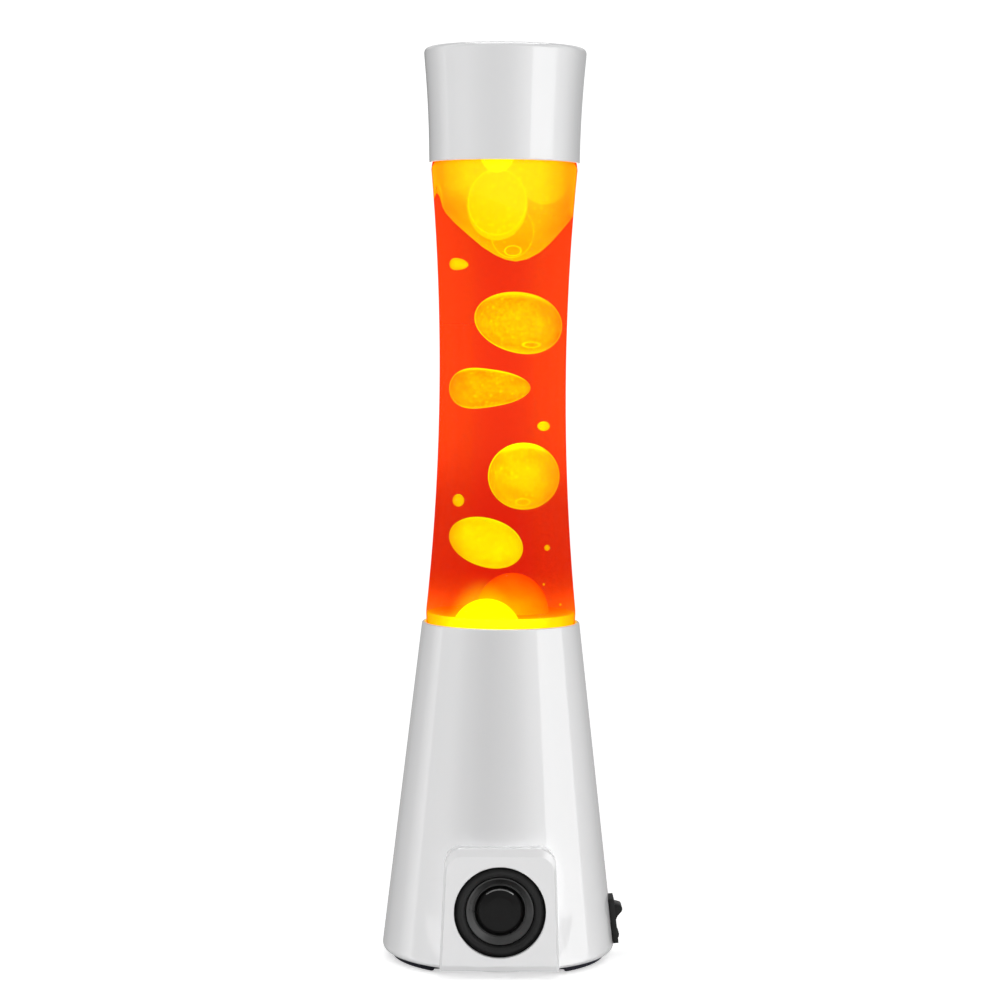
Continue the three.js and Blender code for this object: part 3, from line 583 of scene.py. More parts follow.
def rounded(points, steps=5):
    """A closed outline in which each corner given as (u, v, radius) becomes an arc."""
    out = []
    for i, point in enumerate(points):
        here = Vector(point[:2])
        radius = point[2] if len(point) > 2 else 0
        if radius == 0:
            out.append(tuple(here))
            continue
        back = (Vector(points[i - 1][:2]) - here).normalized()
        ahead = (Vector(points[(i + 1) % len(points)][:2]) - here).normalized()
        half = back.angle(ahead) / 2
        centre = here + (back + ahead).normalized() * (radius / math.sin(half))
        start = here + back * (radius / math.tan(half)) - centre
        end = here + ahead * (radius / math.tan(half)) - centre
        first = math.atan2(start.y, start.x)
        turn = (math.atan2(end.y, end.x) - first + math.pi) % TAU - math.pi
        for k in range(steps + 1):
            a = first + turn * k / steps
            out.append((centre.x + radius * math.cos(a), centre.y + radius * math.sin(a)))
    return out


def lathe(profile, segments=96):
    """A solid of revolution about +Z from a closed outline of (radius, z). A point at radius 0 is a pole."""
    bm = bmesh.new()
    rings = []
    for r, z in profile:
        count = 1 if r < 1e-6 else segments
        rings.append([
            bm.verts.new((*(c * MM for c in polar(r, 360 * k / segments)), z * MM)) for k in range(count)
        ])
    for i, low in enumerate(rings):
        high = rings[(i + 1) % len(rings)]
        if len(low) == 1 and len(high) == 1:
            continue
        for k in range(segments):
            n = k + 1
            corners = [low[k % len(low)], low[n % len(low)], high[n % len(high)], high[k % len(high)]]
            bm.faces.new(list(dict.fromkeys(corners)))
    bmesh.ops.recalc_face_normals(bm, faces=bm.faces)
    return bm


def loft(rings):
    """A closed solid through equal rings of points, with flat ends."""
    bm = bmesh.new()
    rows = [[bm.verts.new(Vector(p) * MM) for p in ring] for ring in rings]
    for low, high in zip(rows, rows[1:]):
        bridge(bm, low, high)
    bm.faces.new(rows[0])
    bm.faces.new(rows[-1])
    bmesh.ops.recalc_face_normals(bm, faces=bm.faces)
    return bm


def block(low, high):
    corners = [(low[0], low[1]), (high[0], low[1]), (high[0], high[1]), (low[0], high[1])]
    return loft([[(x, y, z) for x, y in corners] for z in (low[2], high[2])])


def rod(radius, start, end, segments=24):
    """A round rod between two points, in millimetres."""
    a, b = Vector(start), Vector(end)
    turn = (b - a).to_track_quat("Z", "Y").to_matrix()
    circle = [turn @ Vector((*polar(radius, 360 * k / segments), 0)) for k in range(segments)]
    return loft([[tuple(a + p) for p in circle], [tuple(b + p) for p in circle]])


def moved(bm, matrix):
    bmesh.ops.transform(bm, matrix=matrix, verts=bm.verts)
    return bm


def combined(bm, others, operation):
    """bm with the other solids joined to it (UNION) or cut out of it (DIFFERENCE)."""
    target = object_from("temporary", bm)
    tools = [object_from("temporary", other) for other in others]
    for tool in tools:
        step = target.modifiers.new("step", "BOOLEAN")
        step.operation = operation
        step.solver = "EXACT"
        step.object = tool
    bpy.context.view_layer.update()
    result = bmesh.new()
    result.from_object(target, bpy.context.evaluated_depsgraph_get())
    for made in [target, *tools]:
        mesh = made.data
        bpy.data.objects.remove(made)
        bpy.data.meshes.remove(mesh)
    return result


def bevelled(bm, width, angle=40, segments=3):
    """bm with its edges sharper than the angle rounded off."""
    edges = [e for e in bm.edges if len(e.link_faces) == 2 and e.calc_face_angle() > math.radians(angle)]
    bmesh.ops.bevel(bm, geom=edges, offset=width * MM, segments=segments, profile=0.5, affect="EDGES",
                    clamp_overlap=True)
    return bm


def piece(name, bm, material, body, replaces=(), sharp=32):
    """A finished piece that rides on a body of the frame and stands for the named CAD nodes."""
    bmesh.ops.recalc_face_normals(bm, faces=bm.faces)
    made = object_from(name, bm)
    mesh = made.data
    mesh.polygons.foreach_set("use_smooth", [True] * len(mesh.polygons))
    mesh.set_sharp_from_angle(angle=math.radians(sharp))
    mesh.materials.append(material)
    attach(made, body)
    if replaces:
        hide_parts(*replaces)
    return made


def side_frame(level, angle):
    """A frame on the base's sloping side: +X points out of the surface, +Z up the slope."""
    return (
        Matrix.Rotation(math.radians(angle), 4, "Z")
        @ Matrix.Translation(Vector((base_radius(level), 0, level)) * MM)
        @ Matrix.Rotation(-SLOPE, 4, "Y")
    )


SWITCH = side_frame(SWITCH_Z, 0)
INLET = side_frame(INLET_Z, 90)
SPEAKER = Matrix.Translation((0, 0, SPEAKER_Z * MM)) @ Matrix.Rotation(math.pi / 2, 4, "X")


def rounded_rectangle(width, height, radius, steps=8):
    x, y = width / 2, height / 2
    return rounded([(x, y, radius), (-x, y, radius), (-x, -y, radius), (x, -y, radius)], steps)


def prism_x(outline, start, end):
    """An outline in (y, z), drawn out along +X."""
    return loft([[(x, y, z) for y, z in outline] for x in (start, end)])


def prism_y(outline, start, end):
    """An outline in (x, z), drawn out along +Y."""
    return loft([[(x, y, z) for x, z in outline] for y in (start, end)])


# ---- White base ----
COVER_SCREWS = [polar(42, a) for a in (68, 112, 210, 330)]
SHIELD_SCREWS = [polar(38.5, a) for a in (50, 230)]
SPEAKER_SCREWS = [(19.2 * sx, SPEAKER_Z + 19.2 * sz) for sx in (-1, 1) for sz in (-1, 1)]


def housing_outline(inset, bottom, bevel=0):
    """Front outline of the loudspeaker's housing, in x and z, drawn in by a bevel wider at its top."""
    top = HOUSING_TOP - inset - bevel
    half_top = 24.2 - inset - 0.25 * bevel
    half_low = half_top + (26.4 - 24.2) / (HOUSING_TOP - HOUSING_BOTTOM) * (top - bottom)
    corner = max(8 - inset - 0.25 * bevel, 0.5)
    return rounded([(-half_low, bottom), (half_low, bottom), (half_top, top, corner),
            (-half_top, top, corner)], 10)


def housing_block(inset, bottom, front, edge, back=-22):
    """The housing as a block with a shallow bevel of width edge round its front."""
    if edge > 0:
        levels = [(edge, -front), (0.1 * edge, -front + 0.5 * edge), (0, -front + 0.66 * edge)]
    else:
        levels = [(0, -front)]
    rings = [[(x, y, z) for x, z in housing_outline(inset, bottom, bevel)] for bevel, y in levels]
    rings.append([(x, back, z) for x, z in housing_outline(inset, bottom)])
    return loft(rings)


def make_base():
    cone = lathe(rounded([
        (48.9, 3, 0.4),
        (base_radius(3), 3, 3),
        (RIM_RADIUS, BASE_TOP, 0.8),
        (34.45, BASE_TOP, 0.3),
        (34.4, 151.2, 0.5),
        (33.4, 149.2, 0.5),
        (base_radius(124) - WALL, 124, 0.6),
        (24.5, 124, 0.5),
        (24.5, 121.5, 0.5),
        (base_radius(121.5) - WALL, 121.5, 1.2),
        (base_radius(5.4) - WALL, 5.4),
        (48.9, 5.4),
    ], 8), 192)
    housing = combined(
        housing_block(0, -6, HOUSING_FRONT, 3.5),
        [block((-60, -80, -20), (60, 10, HOUSING_BOTTOM))],
        "DIFFERENCE",
    )
    inside_cone = lathe([
        (0, -8), (base_radius(-8) - WALL, -8), (base_radius(90) - WALL, 90), (0, 90),
    ], 192)
    housing = combined(housing, [inside_cone], "DIFFERENCE")
    shell = combined(cone, [housing], "UNION")
    room = combined(
        housing_block(WALL, -6, HOUSING_FRONT - WALL, 0, back=-30),
        [block((-60, -80, -20), (60, 10, HOUSING_BOTTOM + WALL))],
        "DIFFERENCE",
    )
    mouth = [(0, -60), (22.2, -60), (21.9, -HOUSING_FRONT - 1.2)]
    edge = 0.45
    for k in range(6):
        a = math.radians(90 * k / 5)
        mouth.append((20.15 + edge * (1 - math.sin(a)), -HOUSING_FRONT + edge * (1 - math.cos(a))))
    mouth += [(20.15, -46), (0, -46)]
    opening = moved(lathe([(r, -y) for r, y in mouth], 128), SPEAKER)
    posts = [rod(2.7, (x, -HOUSING_FRONT + 1, z), (x, -48.6, z)) for x, z in SPEAKER_SCREWS]
    for x, y in COVER_SCREWS:
        posts.append(rod(4, (x, y, 6.3), (x, y, 11)))
        reach = (base_radius(8.3) - 1) / math.hypot(x, y)
        posts.append(rod(1.6, (x, y, 8.3), (x * reach, y * reach, 8.3), 12))
    for x, y in SHIELD_SCREWS:
        posts.append(rod(3, (x, y, 63.3), (x, y, 74)))
        reach = (base_radius(70) - 1) / math.hypot(x, y)
        posts.append(rod(2, (x, y, 70), (x * reach, y * reach, 70), 12))
    floor_half = 25.4
    floor = block((-floor_half, -HOUSING_FRONT + 1, HOUSING_BOTTOM),
            (floor_half, -35.5, HOUSING_BOTTOM + WALL))
    shell = combined(shell, [room], "DIFFERENCE")
    shell = combined(shell, [floor, *posts], "UNION")
    seat = moved(prism_x(rounded_rectangle(15.6, 21.1, 1.4), -0.5, 6), SWITCH)
    hole = moved(block((-8, -6.6, -9.6), (6, 6.6, 9.6)), SWITCH)
    inlet_seat = moved(prism_x(rounded_rectangle(22.8, 14.8, 2.3), -0.5, 6), INLET)
    inlet_hole = moved(block((-8, -9.8, -5.8), (6, 9.8, 5.8)), INLET)
    shell = combined(shell, [opening, seat, hole, inlet_seat, inlet_hole], "DIFFERENCE")
    piece("base_moulding", shell, white_plastic, "base", ["base_shell"], sharp=14)


make_base()

# ---- Top cap ----


def make_cap():
    outside = [(cap_radius(z), z) for z in [360 + 2 * k for k in range(24)]]
    inside = [(cap_radius(z) - 1.6, z) for z in [404 - 2 * k for k in range(22)]]
    profile = rounded([
        (0, 407.6),
        (cap_radius(404) - 1.6, 407.6, 1.5),
        *inside,
        (cap_radius(359) - 1.6, 359, 0.6),
        (cap_radius(359), 359, 0.7),
        *outside,
        (cap_radius(408), 410, 2.2),
        (32.2, 410, 0.5),
        (31.4, 409.5, 0.5),
        (0, 409.5),
    ], 7)
    piece("cap_moulding", lathe(profile, 192), white_plastic, "cap", ["top_cap"], sharp=40)


make_cap()

# ---- Bottle ----
SIDE_LEVELS = [158 + 9.9 * k for k in range(21)]


def make_bottle():
    shoulder = glass_radius(357)
    outer = [
        (0, BOTTLE_BOTTOM + 1.6),
        (17, BOTTLE_BOTTOM + 1.2, 4),
        (20, BOTTLE_BOTTOM, 1.5),
        (27.4, BOTTLE_BOTTOM, 1.6),
        (33.1, 149.2, 1.5),
        (34.05, 151.8, 3),
        (34.28, 156, 2),
        *[(glass_radius(z), z) for z in SIDE_LEVELS],
        (shoulder + 0.25, 361.2, 4),
        (22, 366.3, 6),
        (15.2, 370.8, 4),
        (13.3, 376.5, 3),
        (13.3, BOTTLE_TOP, 0.8),
        (10.7, BOTTLE_TOP, 0.6),
    ]
    skin = 0.3
    inner = [
        (10.7, 375.5, 3),
        (13.6, 368.9, 4),
        (21.4, 364.2, 6),
        (shoulder - 0.8, 360.2, 3.4),
        *[(glass_radius(z) - skin, z) for z in reversed(SIDE_LEVELS)],
        (33.98, 156, 2),
        (33.75, 151.9, 2.7),
        (32.8, 149.3, 1.2),
        (26.6, BOTTLE_BOTTOM + 3.4, 2),
        (0, BOTTLE_BOTTOM + 3.2),
    ]
    profile = rounded([*outer, *inner], 6)
    bottle = piece("bottle", lathe(profile, 160), bottle_glass, "bottle", ["glass_bottle"],
            sharp=50)
    bottle.data.materials.append(neck_glass)
    for face in bottle.data.polygons:
        if not 150.5 * MM < face.center.z < 361 * MM:
            face.material_index = 1


make_bottle()

# ---- Liquid and wax ----


def make_liquid_body():
    """One body of liquid from the bottom of the bottle to its shoulder; the wax lies inside it."""
    profile = rounded([
        (0, BOTTLE_BOTTOM + 3.5),
        (26.4, BOTTLE_BOTTOM + 3.6, 2),
        (32.6, 149.4, 1.2),
        (33.6, 152, 2.5),
        (33.83, 156, 2),
        *[(glass_radius(z) - LIQUID_SKIN, z) for z in SIDE_LEVELS],
        (glass_radius(357) - 1.0, 360.0, 3.2),
        (22, 363.6, 5),
        (0, 363.7),
    ], 6)
    piece("liquid", lathe(profile, 160), red_liquid, "bottle", ["lamp_liquid"], sharp=60)


make_liquid_body()

# Lower outline of the hanging wax seen from the front: x and z.
HANG = [
    (-33.5, 341.8), (-32.0, 341.4), (-31.2, 343.4), (-30.3, 346.4), (-29.6, 346.6), (-28.9, 343.6),
    (-28.2, 340.4), (-26.7, 337.0), (-22.0, 332.0), (-15.3, 326.2), (-9.5, 321.4), (-4.0, 318.0),
    (0.8, 315.9), (5.5, 315.1), (10.6, 316.2), (16.4, 319.4), (21.0, 323.6), (25.3, 328.4),
    (29.0, 332.8), (32.1, 337.0), (33.5, 339.2),
]


def along(table, x):
    """Straight-line reading of a table of (x, value)."""
    for (x0, v0), (x1, v1) in zip(table, table[1:]):
        if x <= x1:
            t = max(0, (x - x0) / (x1 - x0))
            return v0 + (v1 - v0) * t
    return table[-1][1]


def smooth_hang(x):
    reach = 0.5
    return sum(along(HANG, x + reach * k / 2) for k in range(-2, 3)) / 5


def make_hanging_wax():
    """Wax that fills the top of the bottle and hangs down in a blunt point."""
    sides, rows = 160, 30
    tip_x = 4.5
    rings = []
    for row in range(1, rows + 1):
        share = row / rows
        ring = []
        for k in range(sides):
            out_x, out_y = polar(1, 360 * k / sides)
            wall = 31.0
            z = 330.0
            for _ in range(3):
                wall = glass_radius(z) - HANG_SKIN
                x = tip_x + (out_x * wall - tip_x) * share
                y = out_y * wall * share
                z = smooth_hang(x) + 0.024 * y * y
            ring.append((x, y, z))
        rings.append(ring)
    bm = bmesh.new()
    tip = bm.verts.new(Vector((tip_x, 0, smooth_hang(tip_x))) * MM)
    rows_of_verts = [[bm.verts.new(Vector(p) * MM) for p in ring] for ring in rings]
    contact = rings[-1]
    shoulder = glass_radius(357) - 1.9
    for level in range(1, 7):
        ring = []
        for k, (_, _, z) in enumerate(contact):
            height = z + (357 - z) * level / 6
            pulled_in = 0.25 * max(0, (height - 353) / 4) ** 2
            ring.append((*polar(glass_radius(height) - HANG_SKIN - pulled_in, 360 * k / sides), height))
        rows_of_verts.append([bm.verts.new(Vector(p) * MM) for p in ring])
    for radius, height in ((shoulder, 359.4), (shoulder - 3.3, 361.4), (shoulder - 6.5, 362.4), (21, 362.9)):
        rows_of_verts.append([
            bm.verts.new(Vector((*polar(radius, 360 * k / sides), height)) * MM) for k in range(sides)
        ])
    for low, high in zip(rows_of_verts, rows_of_verts[1:]):
        for k in range(sides):
            n = (k + 1) % sides
            bm.faces.new((low[k], low[n], high[n], high[k]))
    for k in range(sides):
        bm.faces.new((tip, rows_of_verts[0][(k + 1) % sides], rows_of_verts[0][k]))
    bm.faces.new(rows_of_verts[-1])
    # The hanging wax's glow is painted light; it grows towards the top, and the spots listed below are
    # painted bright patches.
    glow = make_wax(
        "wax_hanging", 0.35, 0.43, crown=0, belly=0, rim=0.8, specks=0.1, slope=(336, 352, 1.6), red=0.85,
        flank_shade=0, rim_width=0.5, rim_upright=True,
        painted_glow_spots=[
            ((-21.7, 355), (8.5, 9.3), 0.62, 0),
            ((17.1, 351.5), (11.6, 11.9), 0.64, 0),
            ((-3.4, 339.5), (13.4, 15.6), 0.67, 0),
            ((-3.4, 340.5), (13.0, 14.4), 0.95, 0.03),
            ((-3.6, 365.5), (8.8, 12.5), 0.92, 0),
            ((3.4, 327.5), (9.8, 11.2), 0.62, 0.05),
            ((3.9, 319.6), (4.0, 2.4), 0.75, 0.16),
        ],
    )
    piece("wax_hanging_mass", bm, glow, "bottle", ["wax_top"], sharp=70)


make_hanging_wax()


def egg(half, lean, at, taper=0.0, lift=0.0, swell=0.0, detail=5):
    """An egg of wax with half sizes along x, y and z. taper narrows its +x end, lift raises that end,
    and swell makes both ends blunter. lean tips the +x end down, in degrees."""
    bm = bmesh.new()
    bmesh.ops.create_icosphere(bm, subdivisions=detail, radius=1)
    tip = Matrix.Rotation(math.radians(lean), 3, "Y")
    for vert in bm.verts:
        x, y, z = vert.co
        narrow = 1 - taper * (x + 1) / 2
        fill = math.sqrt((1 - abs(x) ** (2 + swell)) / max(1 - x * x, 1e-6))
        place = Vector((x * half[0], y * narrow * fill * half[1], z * narrow * fill * half[2] + lift * x))
        vert.co = (tip @ place + Vector(at)) * MM
    return bm


# A painted bright ring in the round drop's glow.
PAINTED_RING_IN_DROP = ((9.4, 207.4), (3.7, 1.9), 1.0, 0.22)
# The drops glow with painted light: dim and bright set the glow, crown a painted highlight on the top, rings
# painted bright rings.
DROPS = [
    # name, half sizes, lean, centre, taper, lift, swell, dim, bright, crown, rings, the node it stands for
    ("wax_drop_upper", (19.9, 15, 12.6), 10.5, (6.75, 0, 287.8), -0.16, 0, 0.1, 0.34, 0.6, 0.5,
     [((12.5, 277.9), (4.5, 1.5), 0.85, 0.25)], "wax_drop_1"),
    ("wax_drop_teardrop", (18.3, 11, 11.1), 0, (-5.8, 0, 258.1), 0.46, 0.25, 0.8, 0.32, 0.52, 0.6,
     [], "wax_drop_2"),
    ("wax_drop_round", (16.15, 16, 15.1), 0, (9.85, 0, 218.45), 0, 0, 0.05, 0.54, 0.78, 0.9,
     [PAINTED_RING_IN_DROP], "wax_drop_3"),
    ("wax_drop_lower", (17.1, 12.5, 10.7), 16.5, (-6.95, 0, 188.3), -0.05, 0, 0.1, 0.98, 1.25, 0.3,
     [], "wax_drop_4"),
]
for name, half, lean, at, taper, lift, swell, dim, bright, crown, rings, stands_for in DROPS:
    glow = make_wax(name, dim, bright, crown, painted_glow_spots=rings)
    piece(name, egg(half, lean, at, taper, lift, swell), glow, "bottle", [stands_for], sharp=80)

# The beads glow with painted light, with a strong painted highlight on top.
bead_wax = make_wax("wax_beads", 0.75, 0.95, crown=0.9, specks=0)
BEADS = [
    # name, half sizes, lean, centre, taper
    ("wax_bead_1", (2.8, 2.4, 2.1), 0, (18.6, -2, 241.2), 0),
    ("wax_bead_2", (2.6, 2.5, 2.8), 0, (-19.6, -2, 207.4), 0),
    ("wax_bead_3", (1.3, 1.2, 1.3), 0, (20.7, -2, 186.2), 0),
    ("wax_bead_4", (4.3, 2.6, 3.3), 3, (-20.1, 2, 313.7), 0.45),
    ("wax_bead_5", (0.5, 0.5, 0.5), 0, (19.2, -6, 170.0), 0),
    ("wax_bead_6", (0.5, 0.5, 0.5), 0, (26.8, -6, 160.9), 0),
]
for name, half, lean, at, taper in BEADS:
    piece(name, egg(half, lean, at, taper, 0, taper, detail=4), bead_wax, "bottle", sharp=80)


def make_pool():
    """Wax at the bottom of the bottle, its level a little higher at the wall."""
    profile = rounded([
        (0, BOTTLE_BOTTOM + 3.9), (26.0, BOTTLE_BOTTOM + 4.0, 2), (32.2, 149.6, 1.2), (33.2, 152.2, 2),
        (33.42, 156), (33.4, 157.0, 0.3), (32.8, 156.8, 0.3), (30.5, 156.0, 2), (26, 155.4, 3), (0, 155.1),
    ], 6)
    return lathe(profile, 160)


# Painted glow: the pool and the near dome glow brightest, as if lit by the bulb below; the rear dome's glow
# grows towards its bottom.
pool_wax = make_wax("wax_pool_glow", 0.72, 0.95, crown=0, belly=0, rim=0, specks=0, red=1.0, deep=False,
                    flank_shade=0)
dome_wax = make_wax("wax_dome_glow", 1.1, 1.3, crown=0, belly=0, rim=0, specks=0, red=1.2, flank_shade=0)
rear_wax = make_wax("wax_rear_glow", 0.21, 0.29, crown=0.05, belly=0, rim=0, specks=0, slope=(174, 160, 1.7),
                    red=1.4, flank_shade=0)
piece("wax_pool_body", make_pool(), pool_wax, "bottle", ["wax_pool"], sharp=70)
front_dome = egg((16.3, 12.5, 17.1), 0, (-6.6, -14.5, 147.0), detail=5)
piece("wax_dome_front", front_dome, dome_wax, "bottle", sharp=80)
rear_dome = egg((16.8, 11.5, 19.0), 0, (5.4, 12.0, 154.5), detail=5)
piece("wax_dome_rear", rear_dome, rear_wax, "bottle", sharp=80)

# ---- Loudspeaker, drawn as (radius, distance in front of the axis) and turned to the front ----


def speaker_part(name, profile, material, body, replaces, segments=128, sharp=35):
    return piece(name, moved(lathe(profile, segments), SPEAKER), material, body, replaces, sharp)


def make_speaker():
    surround = [(15.35, 48.4), (15.9, 48.4)]
    for k in range(1, 12):
        a = math.pi - math.pi * k / 12
        surround.append((17.4 + 1.3 * math.cos(a), 48.9 + 1.3 * math.sin(a)))
    surround += [(19.3, 48.6), (20.4, 48.6), (20.4, 49.4)]
    for k in range(25):
        a = math.radians(12 + 156 * k / 24)
        ripple = 0.07 * math.sin(6 * a) ** 2
        surround.append((17.55 + (2.1 + ripple) * math.cos(a), 49.2 + (2.05 + ripple) * math.sin(a)))
    surround += [(15.3, 49.1)]
    speaker_part("surround_roll", surround, surround_rubber, "base", ["speaker_surround"])
    cone = rounded([
        (9.3, 43.2), (10.1, 43.2), (15.0, 48.1, 0.4), (15.0, 49.25, 0.3), (14.3, 48.95, 0.4),
        (13.2, 48.0, 0.8), (11.75, 46.7, 0.15), (11.55, 47.15, 0.2), (11.2, 47.0, 0.2), (11.15, 46.1, 0.15),
        (10.8, 45.6, 0.2), (9.3, 44.2),
    ], 4)
    speaker_part("cone_body", cone, cone_paper, "cone", ["speaker_cone"])
    dome = rounded([
        (0, 46.6), (8.2, 45.4), (9.6, 44.5, 0.3), (10.4, 45.4, 0.4), (10.05, 47.3, 0.9), (9.1, 48.0, 1.0),
        (6, 48.45, 4), (0, 48.62),
    ], 6)
    cap = speaker_part("dust_cap_dome", dome, dust_cap_black, "cone", ["dust_cap"])
    cap.data.materials.append(dust_cap_highlight)
    # The glossy copy goes only on the top of the rim, to paint a highlight there.
    for face in cap.data.polygons:
        above = face.center.z - SPEAKER_Z * MM
        if above > 7.5 * MM and math.hypot(face.center.x, above) > 9.2 * MM:
            face.material_index = 1
    coil = []
    for k in range(24):
        low = 33.2 + 9.5 * k / 24
        coil += [(9.1, low), (9.2, low + 0.2)]
    speaker_part("coil_winding", [(8.5, 33), *coil, (9.1, 42.9), (8.5, 42.9)], copper, "cone",
            ["voice_coil"])
    speaker_part("gasket_ring",
            rounded([(20.9, 48.65, 0.2), (22.4, 48.65, 0.2), (22.4, 49.8, 0.2), (20.9, 49.8, 0.2)], 3),
                 foam_rubber, "base", ["speaker_gasket"])
    speaker_part("magnet_ring",
            rounded([(10.4, 29, 0.4), (15.5, 29, 0.6), (15.5, 35.2, 0.6), (10.4, 35.2, 0.4)], 3),
                 ferrite, "base", ["speaker_magnet"])
    speaker_part("yoke_body", rounded([
        (0, 26), (14.5, 26, 0.6), (14.5, 28.7, 0.3), (8, 28.7), (8, 38, 0.3), (0, 38),
    ], 3), steel, "base", ["speaker_yoke"])


make_speaker()

# ---- Underside ----


def corner_cut(side):
    """Rounds the lower outer corner of the cover where it meets the loudspeaker's housing."""
    reach = 3.2
    outline = [(0, reach)]
    for a in range(0, 91, 10):
        outline.append((reach * (1 - math.cos(math.radians(a))), reach * (1 - math.sin(math.radians(a)))))
    outline += [(reach, 0), (reach, -2), (-3, -2), (-3, reach)]
    return loft([[(side * (28.3 + u), y, v) for u, v in outline] for y in (-60, -34)])


def make_cover():
    plate = lathe(rounded([(0, 0.7), (45, 0.7, 2), (46.5, 0.3, 1), (48.65, 0.3, 1.9), (48.65, 3.75, 0.2),
            (0, 3.75)], 6), 160)
    notch_half, notch_y = 28.3, -34.5
    outline = rounded([(-notch_half, notch_y, 2), (notch_half, notch_y, 2), (notch_half, -70),
            (-notch_half, -70)], 6)
    notch = loft([[(x, y, z) for x, y in outline] for z in (-2, 8)])
    cups, holes = [], []
    for x, y in [*COVER_SCREWS, (-10, 0), (10, 0)]:
        cups.append(rod(4.5, (x, y, 3), (x, y, 6), 40))
        holes.append(rod(3.3, (x, y, -1), (x, y, 3.2), 40))
        holes.append(rod(1.8, (x, y, 0), (x, y, 7), 24))
    for x, y in FEET:
        holes.append(rod(5.8, (x, y, -1), (x, y, 2.3), 48))
    for x, y in ((-39, -9), (-24, -9), (-39, 17), (-24, 17)):
        cups.append(rod(2, (x, y, 3), (x, y, 8.7)))
    for y in (-24, -19, -14, 14, 19, 24):
        slot_shape = rounded([(-11, y - 1, 0.95), (11, y - 1, 0.95), (11, y + 1, 0.95),
                (-11, y + 1, 0.95)], 5)
        holes.append(loft([[(x, v, z) for x, v in slot_shape] for z in (-1, 6)]))
    plate = combined(plate, cups, "UNION")
    plate = combined(plate, [notch, *holes], "DIFFERENCE")
    plate = combined(plate, [corner_cut(side) for side in (-1, 1)], "DIFFERENCE")
    piece("cover_plate", plate, cover_black, "base", ["bottom_cover"], sharp=28)


FEET = [polar(38, 40), polar(38, 140), polar(36, 228), polar(36, 312)]
make_cover()
for i, (x, y) in enumerate(FEET):
    rings = rounded([
        (0, 0.35), (2.6, 0.35, 0.3), (3.1, 0, 0.2), (5.5, 0, 0.9), (5.5, 2, 0.15), (0, 2),
    ], 5)
    foot = moved(lathe(rings, 64), Matrix.Translation((x * MM, y * MM, 0)))
    piece(f"foot_pad_{i + 1}", foot, foot_rubber, "base", [f"rubber_foot_{i + 1}"])


def screw(name, at, up, shank, length, stands_for):
    """A pan-head screw with a cross recess; its head is on the side opposite to the direction up."""
    head = shank * 1.9
    profile = [(0, -length), (shank * 0.7, -length + shank)]
    turns = int((length - shank) / 0.55)
    for k in range(turns):
        z = -length + shank + 0.1 + k * 0.5
        profile += [(shank * 0.82, z), (shank, z + 0.22)]
    profile += [(shank * 0.82, 0), (head, 0)]
    for k in range(7):
        a = math.radians(90 * k / 6)
        profile.append((head * math.cos(a * 0.92) ** 0.6, shank * 0.25 + shank * 0.9 * math.sin(a)))
    profile.append((0, shank * 1.15))
    body = lathe(profile, 32)
    arm, width = head * 0.62, shank * 0.2
    cross = [
        block((-arm, -width, shank * 0.5), (arm, width, shank * 2)),
        block((-width, -arm, shank * 0.5), (width, arm, shank * 2)),
    ]
    body = combined(body, cross, "DIFFERENCE")
    turn = Vector((0, 0, -1)).rotation_difference(Vector(up)).to_matrix().to_4x4()
    moved(body, Matrix.Translation(Vector(at) * MM) @ turn)
    piece(name, body, screw_steel, "base", [stands_for])


for i, (x, y) in enumerate(COVER_SCREWS):
    screw(f"cover_fixing_{i + 1}", (x, y, 2.9), (0, 0, 1), 1.5, 6.5, f"cover_screw_{i + 1}")
for i, x in enumerate((-10, 10)):
    screw(f"bracket_fixing_{i + 1}", (x, 0, 2.9), (0, 0, 1), 1.5, 7, f"bracket_screw_{i + 1}")
for i, (x, y) in enumerate(SHIELD_SCREWS):
    screw(f"shield_fixing_{i + 1}", (x, y, 61.7), (0, 0, 1), 1.2, 8, f"shield_screw_{i + 1}")
for i, (x, z) in enumerate(SPEAKER_SCREWS):
    screw(f"speaker_fixing_{i + 1}", (x, -46.8, z), (0, -1, 0), 1, 4, f"speaker_screw_{i + 1}")

# ---- Rocker switch ----


def make_switch():
    bezel = prism_x(rounded_rectangle(15, 20.5, 1.2), -0.2, 2.2)
    body = block((-17, -6.3, -9.3), (0.5, 6.3, 9.3))
    solid = combined(bezel, [body], "UNION")
    well = block((-7.6, -5.7, -8.75), (10, 5.7, 8.75))
    mouth = prism_x(rounded_rectangle(11.4, 18.4, 0.5), -0.2, 10)
    solid = combined(solid, [well, mouth], "DIFFERENCE")
    bevelled(solid, 0.3)
    piece("switch_housing", moved(solid, SWITCH), black_plastic, "base", ["switch_body"])
    half = [(0, 2.1), (1.4, 2.2), (2.8, 2.65), (4.1, 3.55), (5.2, 4.28), (6.2, 4.4), (7.1, 4.05),
            (7.7, 3.3), (7.95, 1.2),
            (7.7, -2), (6.2, -3.4), (4.2, -4.4)]
    outline = [*half, *[(-t, n) for t, n in reversed(half[1:])]]
    rocker = prism_y([(n + 1.5, t) for t, n in outline], -5.4, 5.4)
    bevelled(rocker, 0.35, angle=60)
    tilt = Matrix.Translation((-1.5 * MM, 0, 0)) @ Matrix.Rotation(math.radians(13), 4, "Y")
    piece("rocker_key", moved(rocker, SWITCH @ tilt), rocker_black, "rocker",
            ["switch_rocker"])


make_switch()

# ---- Mains inlet ----


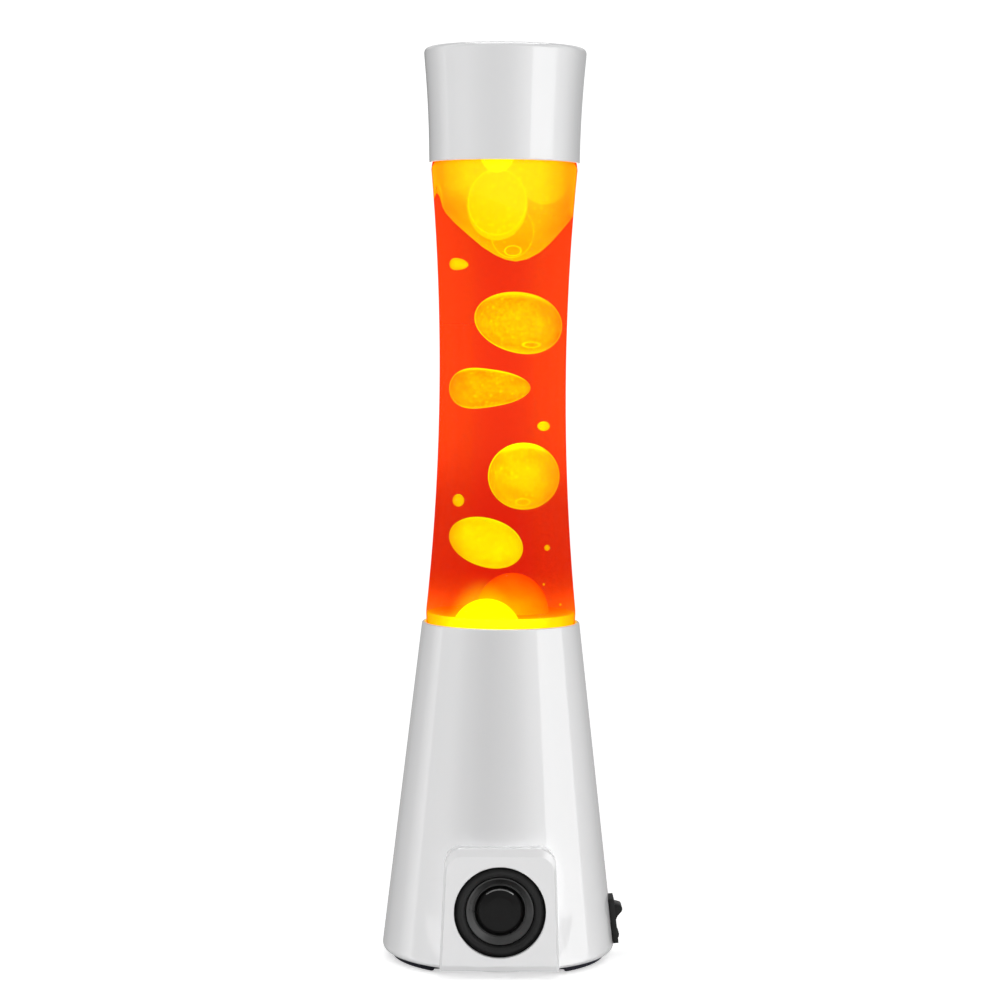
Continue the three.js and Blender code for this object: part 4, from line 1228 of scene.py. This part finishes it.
def make_inlet():
    flange = bevelled(prism_x(rounded_rectangle(22, 14, 2), -0.2, 1.5), 0.35)
    body = block((-17, -9.5, -5.5), (0.5, 9.5, 5.5))
    solid = combined(flange, [body], "UNION")
    socket = prism_x(rounded_rectangle(16.4, 8, 3.9, 12), -12, 8)
    pin_holes = [rod(1.5, (-20, 4.3 * side, 0), (0, 4.3 * side, 0)) for side in (-1, 1)]
    solid = combined(solid, [socket, *pin_holes], "DIFFERENCE")
    piece("inlet_socket", moved(solid, INLET), black_plastic, "base", ["mains_inlet"])
    for i, side in enumerate((-1, 1)):
        pin = lathe(rounded([(0, -21), (1.2, -21, 0.2), (1.2, -2, 1.0), (0, -2)], 6), 40)
        lay = Matrix.Translation((0, 4.3 * side * MM, 0)) @ Matrix.Rotation(math.pi / 2, 4, "Y")
        piece(f"inlet_contact_{i + 1}", moved(pin, INLET @ lay), steel, "base",
                [f"inlet_pin_{i + 1}"])


make_inlet()

# ---- Inside the base: turned pieces made smooth ----


def turned(name, profile, material, body, node_name, segments=96, sharp=35):
    piece(name, lathe(profile, segments), material, body, [node_name], sharp)


turned("seat_ring_fine", rounded([
    (22.5, 124.3, 0.3), (32.6, 124.3, 0.3), (32.6, 131, 0.4), (31.4, 131, 0.4), (31.4, 125.8, 0.3),
    (22.5, 125.8, 0.4),
], 4), aluminium, "base", "seat_ring", 160)
turned("crown_cap_fine", rounded([
    (0, 388.3), (13.7, 388.3), (13.7, 383, 0.2), (15.8, 382.6, 0.3), (15.2, 385, 1), (14.3, 389, 0.5),
    (13, 389.5, 1), (0, 389.5),
], 4), steel, "bottle", "crown_cap")
thread = [(2.2, 48), (3.2, 49.2, 0.3), (6.4, 51.4, 0.4)]
for k in range(6):
    thread += [(6.1, 52.2 + 2.4 * k, 0.3), (6.8, 53.4 + 2.4 * k, 0.4)]
turned("bulb_cap_fine", rounded([(0, 48), *thread, (6.6, 67), (8, 70), (0, 70)], 3), brass, "bulb_base",
        "bulb_cap")
turned("bulb_fine", rounded([
    (5.5, 70.3), (7.4, 70.3), (8.2, 76, 5), (12, 84, 10), (17, 92, 8), (19.5, 100, 5), (19.5, 104, 3),
    (17.5, 110, 5),
    (11, 113.8, 10), (0, 115), (0, 114), (10.6, 112.8, 8), (16.8, 109.2, 4), (18.5, 103.8, 3),
    (18.5, 100.2, 5),
    (16, 92.6, 8), (11, 84.6, 10), (7.2, 76.2, 5), (6.2, 72),
], 6), bulb_frost, "bulb", "bulb_glass")
turned("lampholder_fine", rounded([
    (3, 32.5), (5, 32.5, 0.4), (5, 38.8), (13.2, 38.8, 1), (13.2, 62, 2), (12, 66.5, 0.8),
    (8.6, 66.5, 0.5), (8.6, 46), (3, 46),
], 5), ceramic, "base", "lampholder_body")

# ---- The rest keep their CAD shape and get their finish ----
KEPT = {
    steel: ["lamp_bracket", "bluetooth_module"],
    brass: ["lampholder_nut", "lampholder_thread", "switch_terminal_1", "switch_terminal_2"],
    aluminium: ["heat_shield"],
    black_plastic: ["speaker_basket", "board_capacitor", "power_module"],
    circuit_board: ["audio_board"],
    lead_white: ["lamp_lead", "switch_lead"],
    lead_red: ["speaker_lead"],
}
for material, names in KEPT.items():
    for name in names:
        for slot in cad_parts[name].material_slots:
            slot.material = material
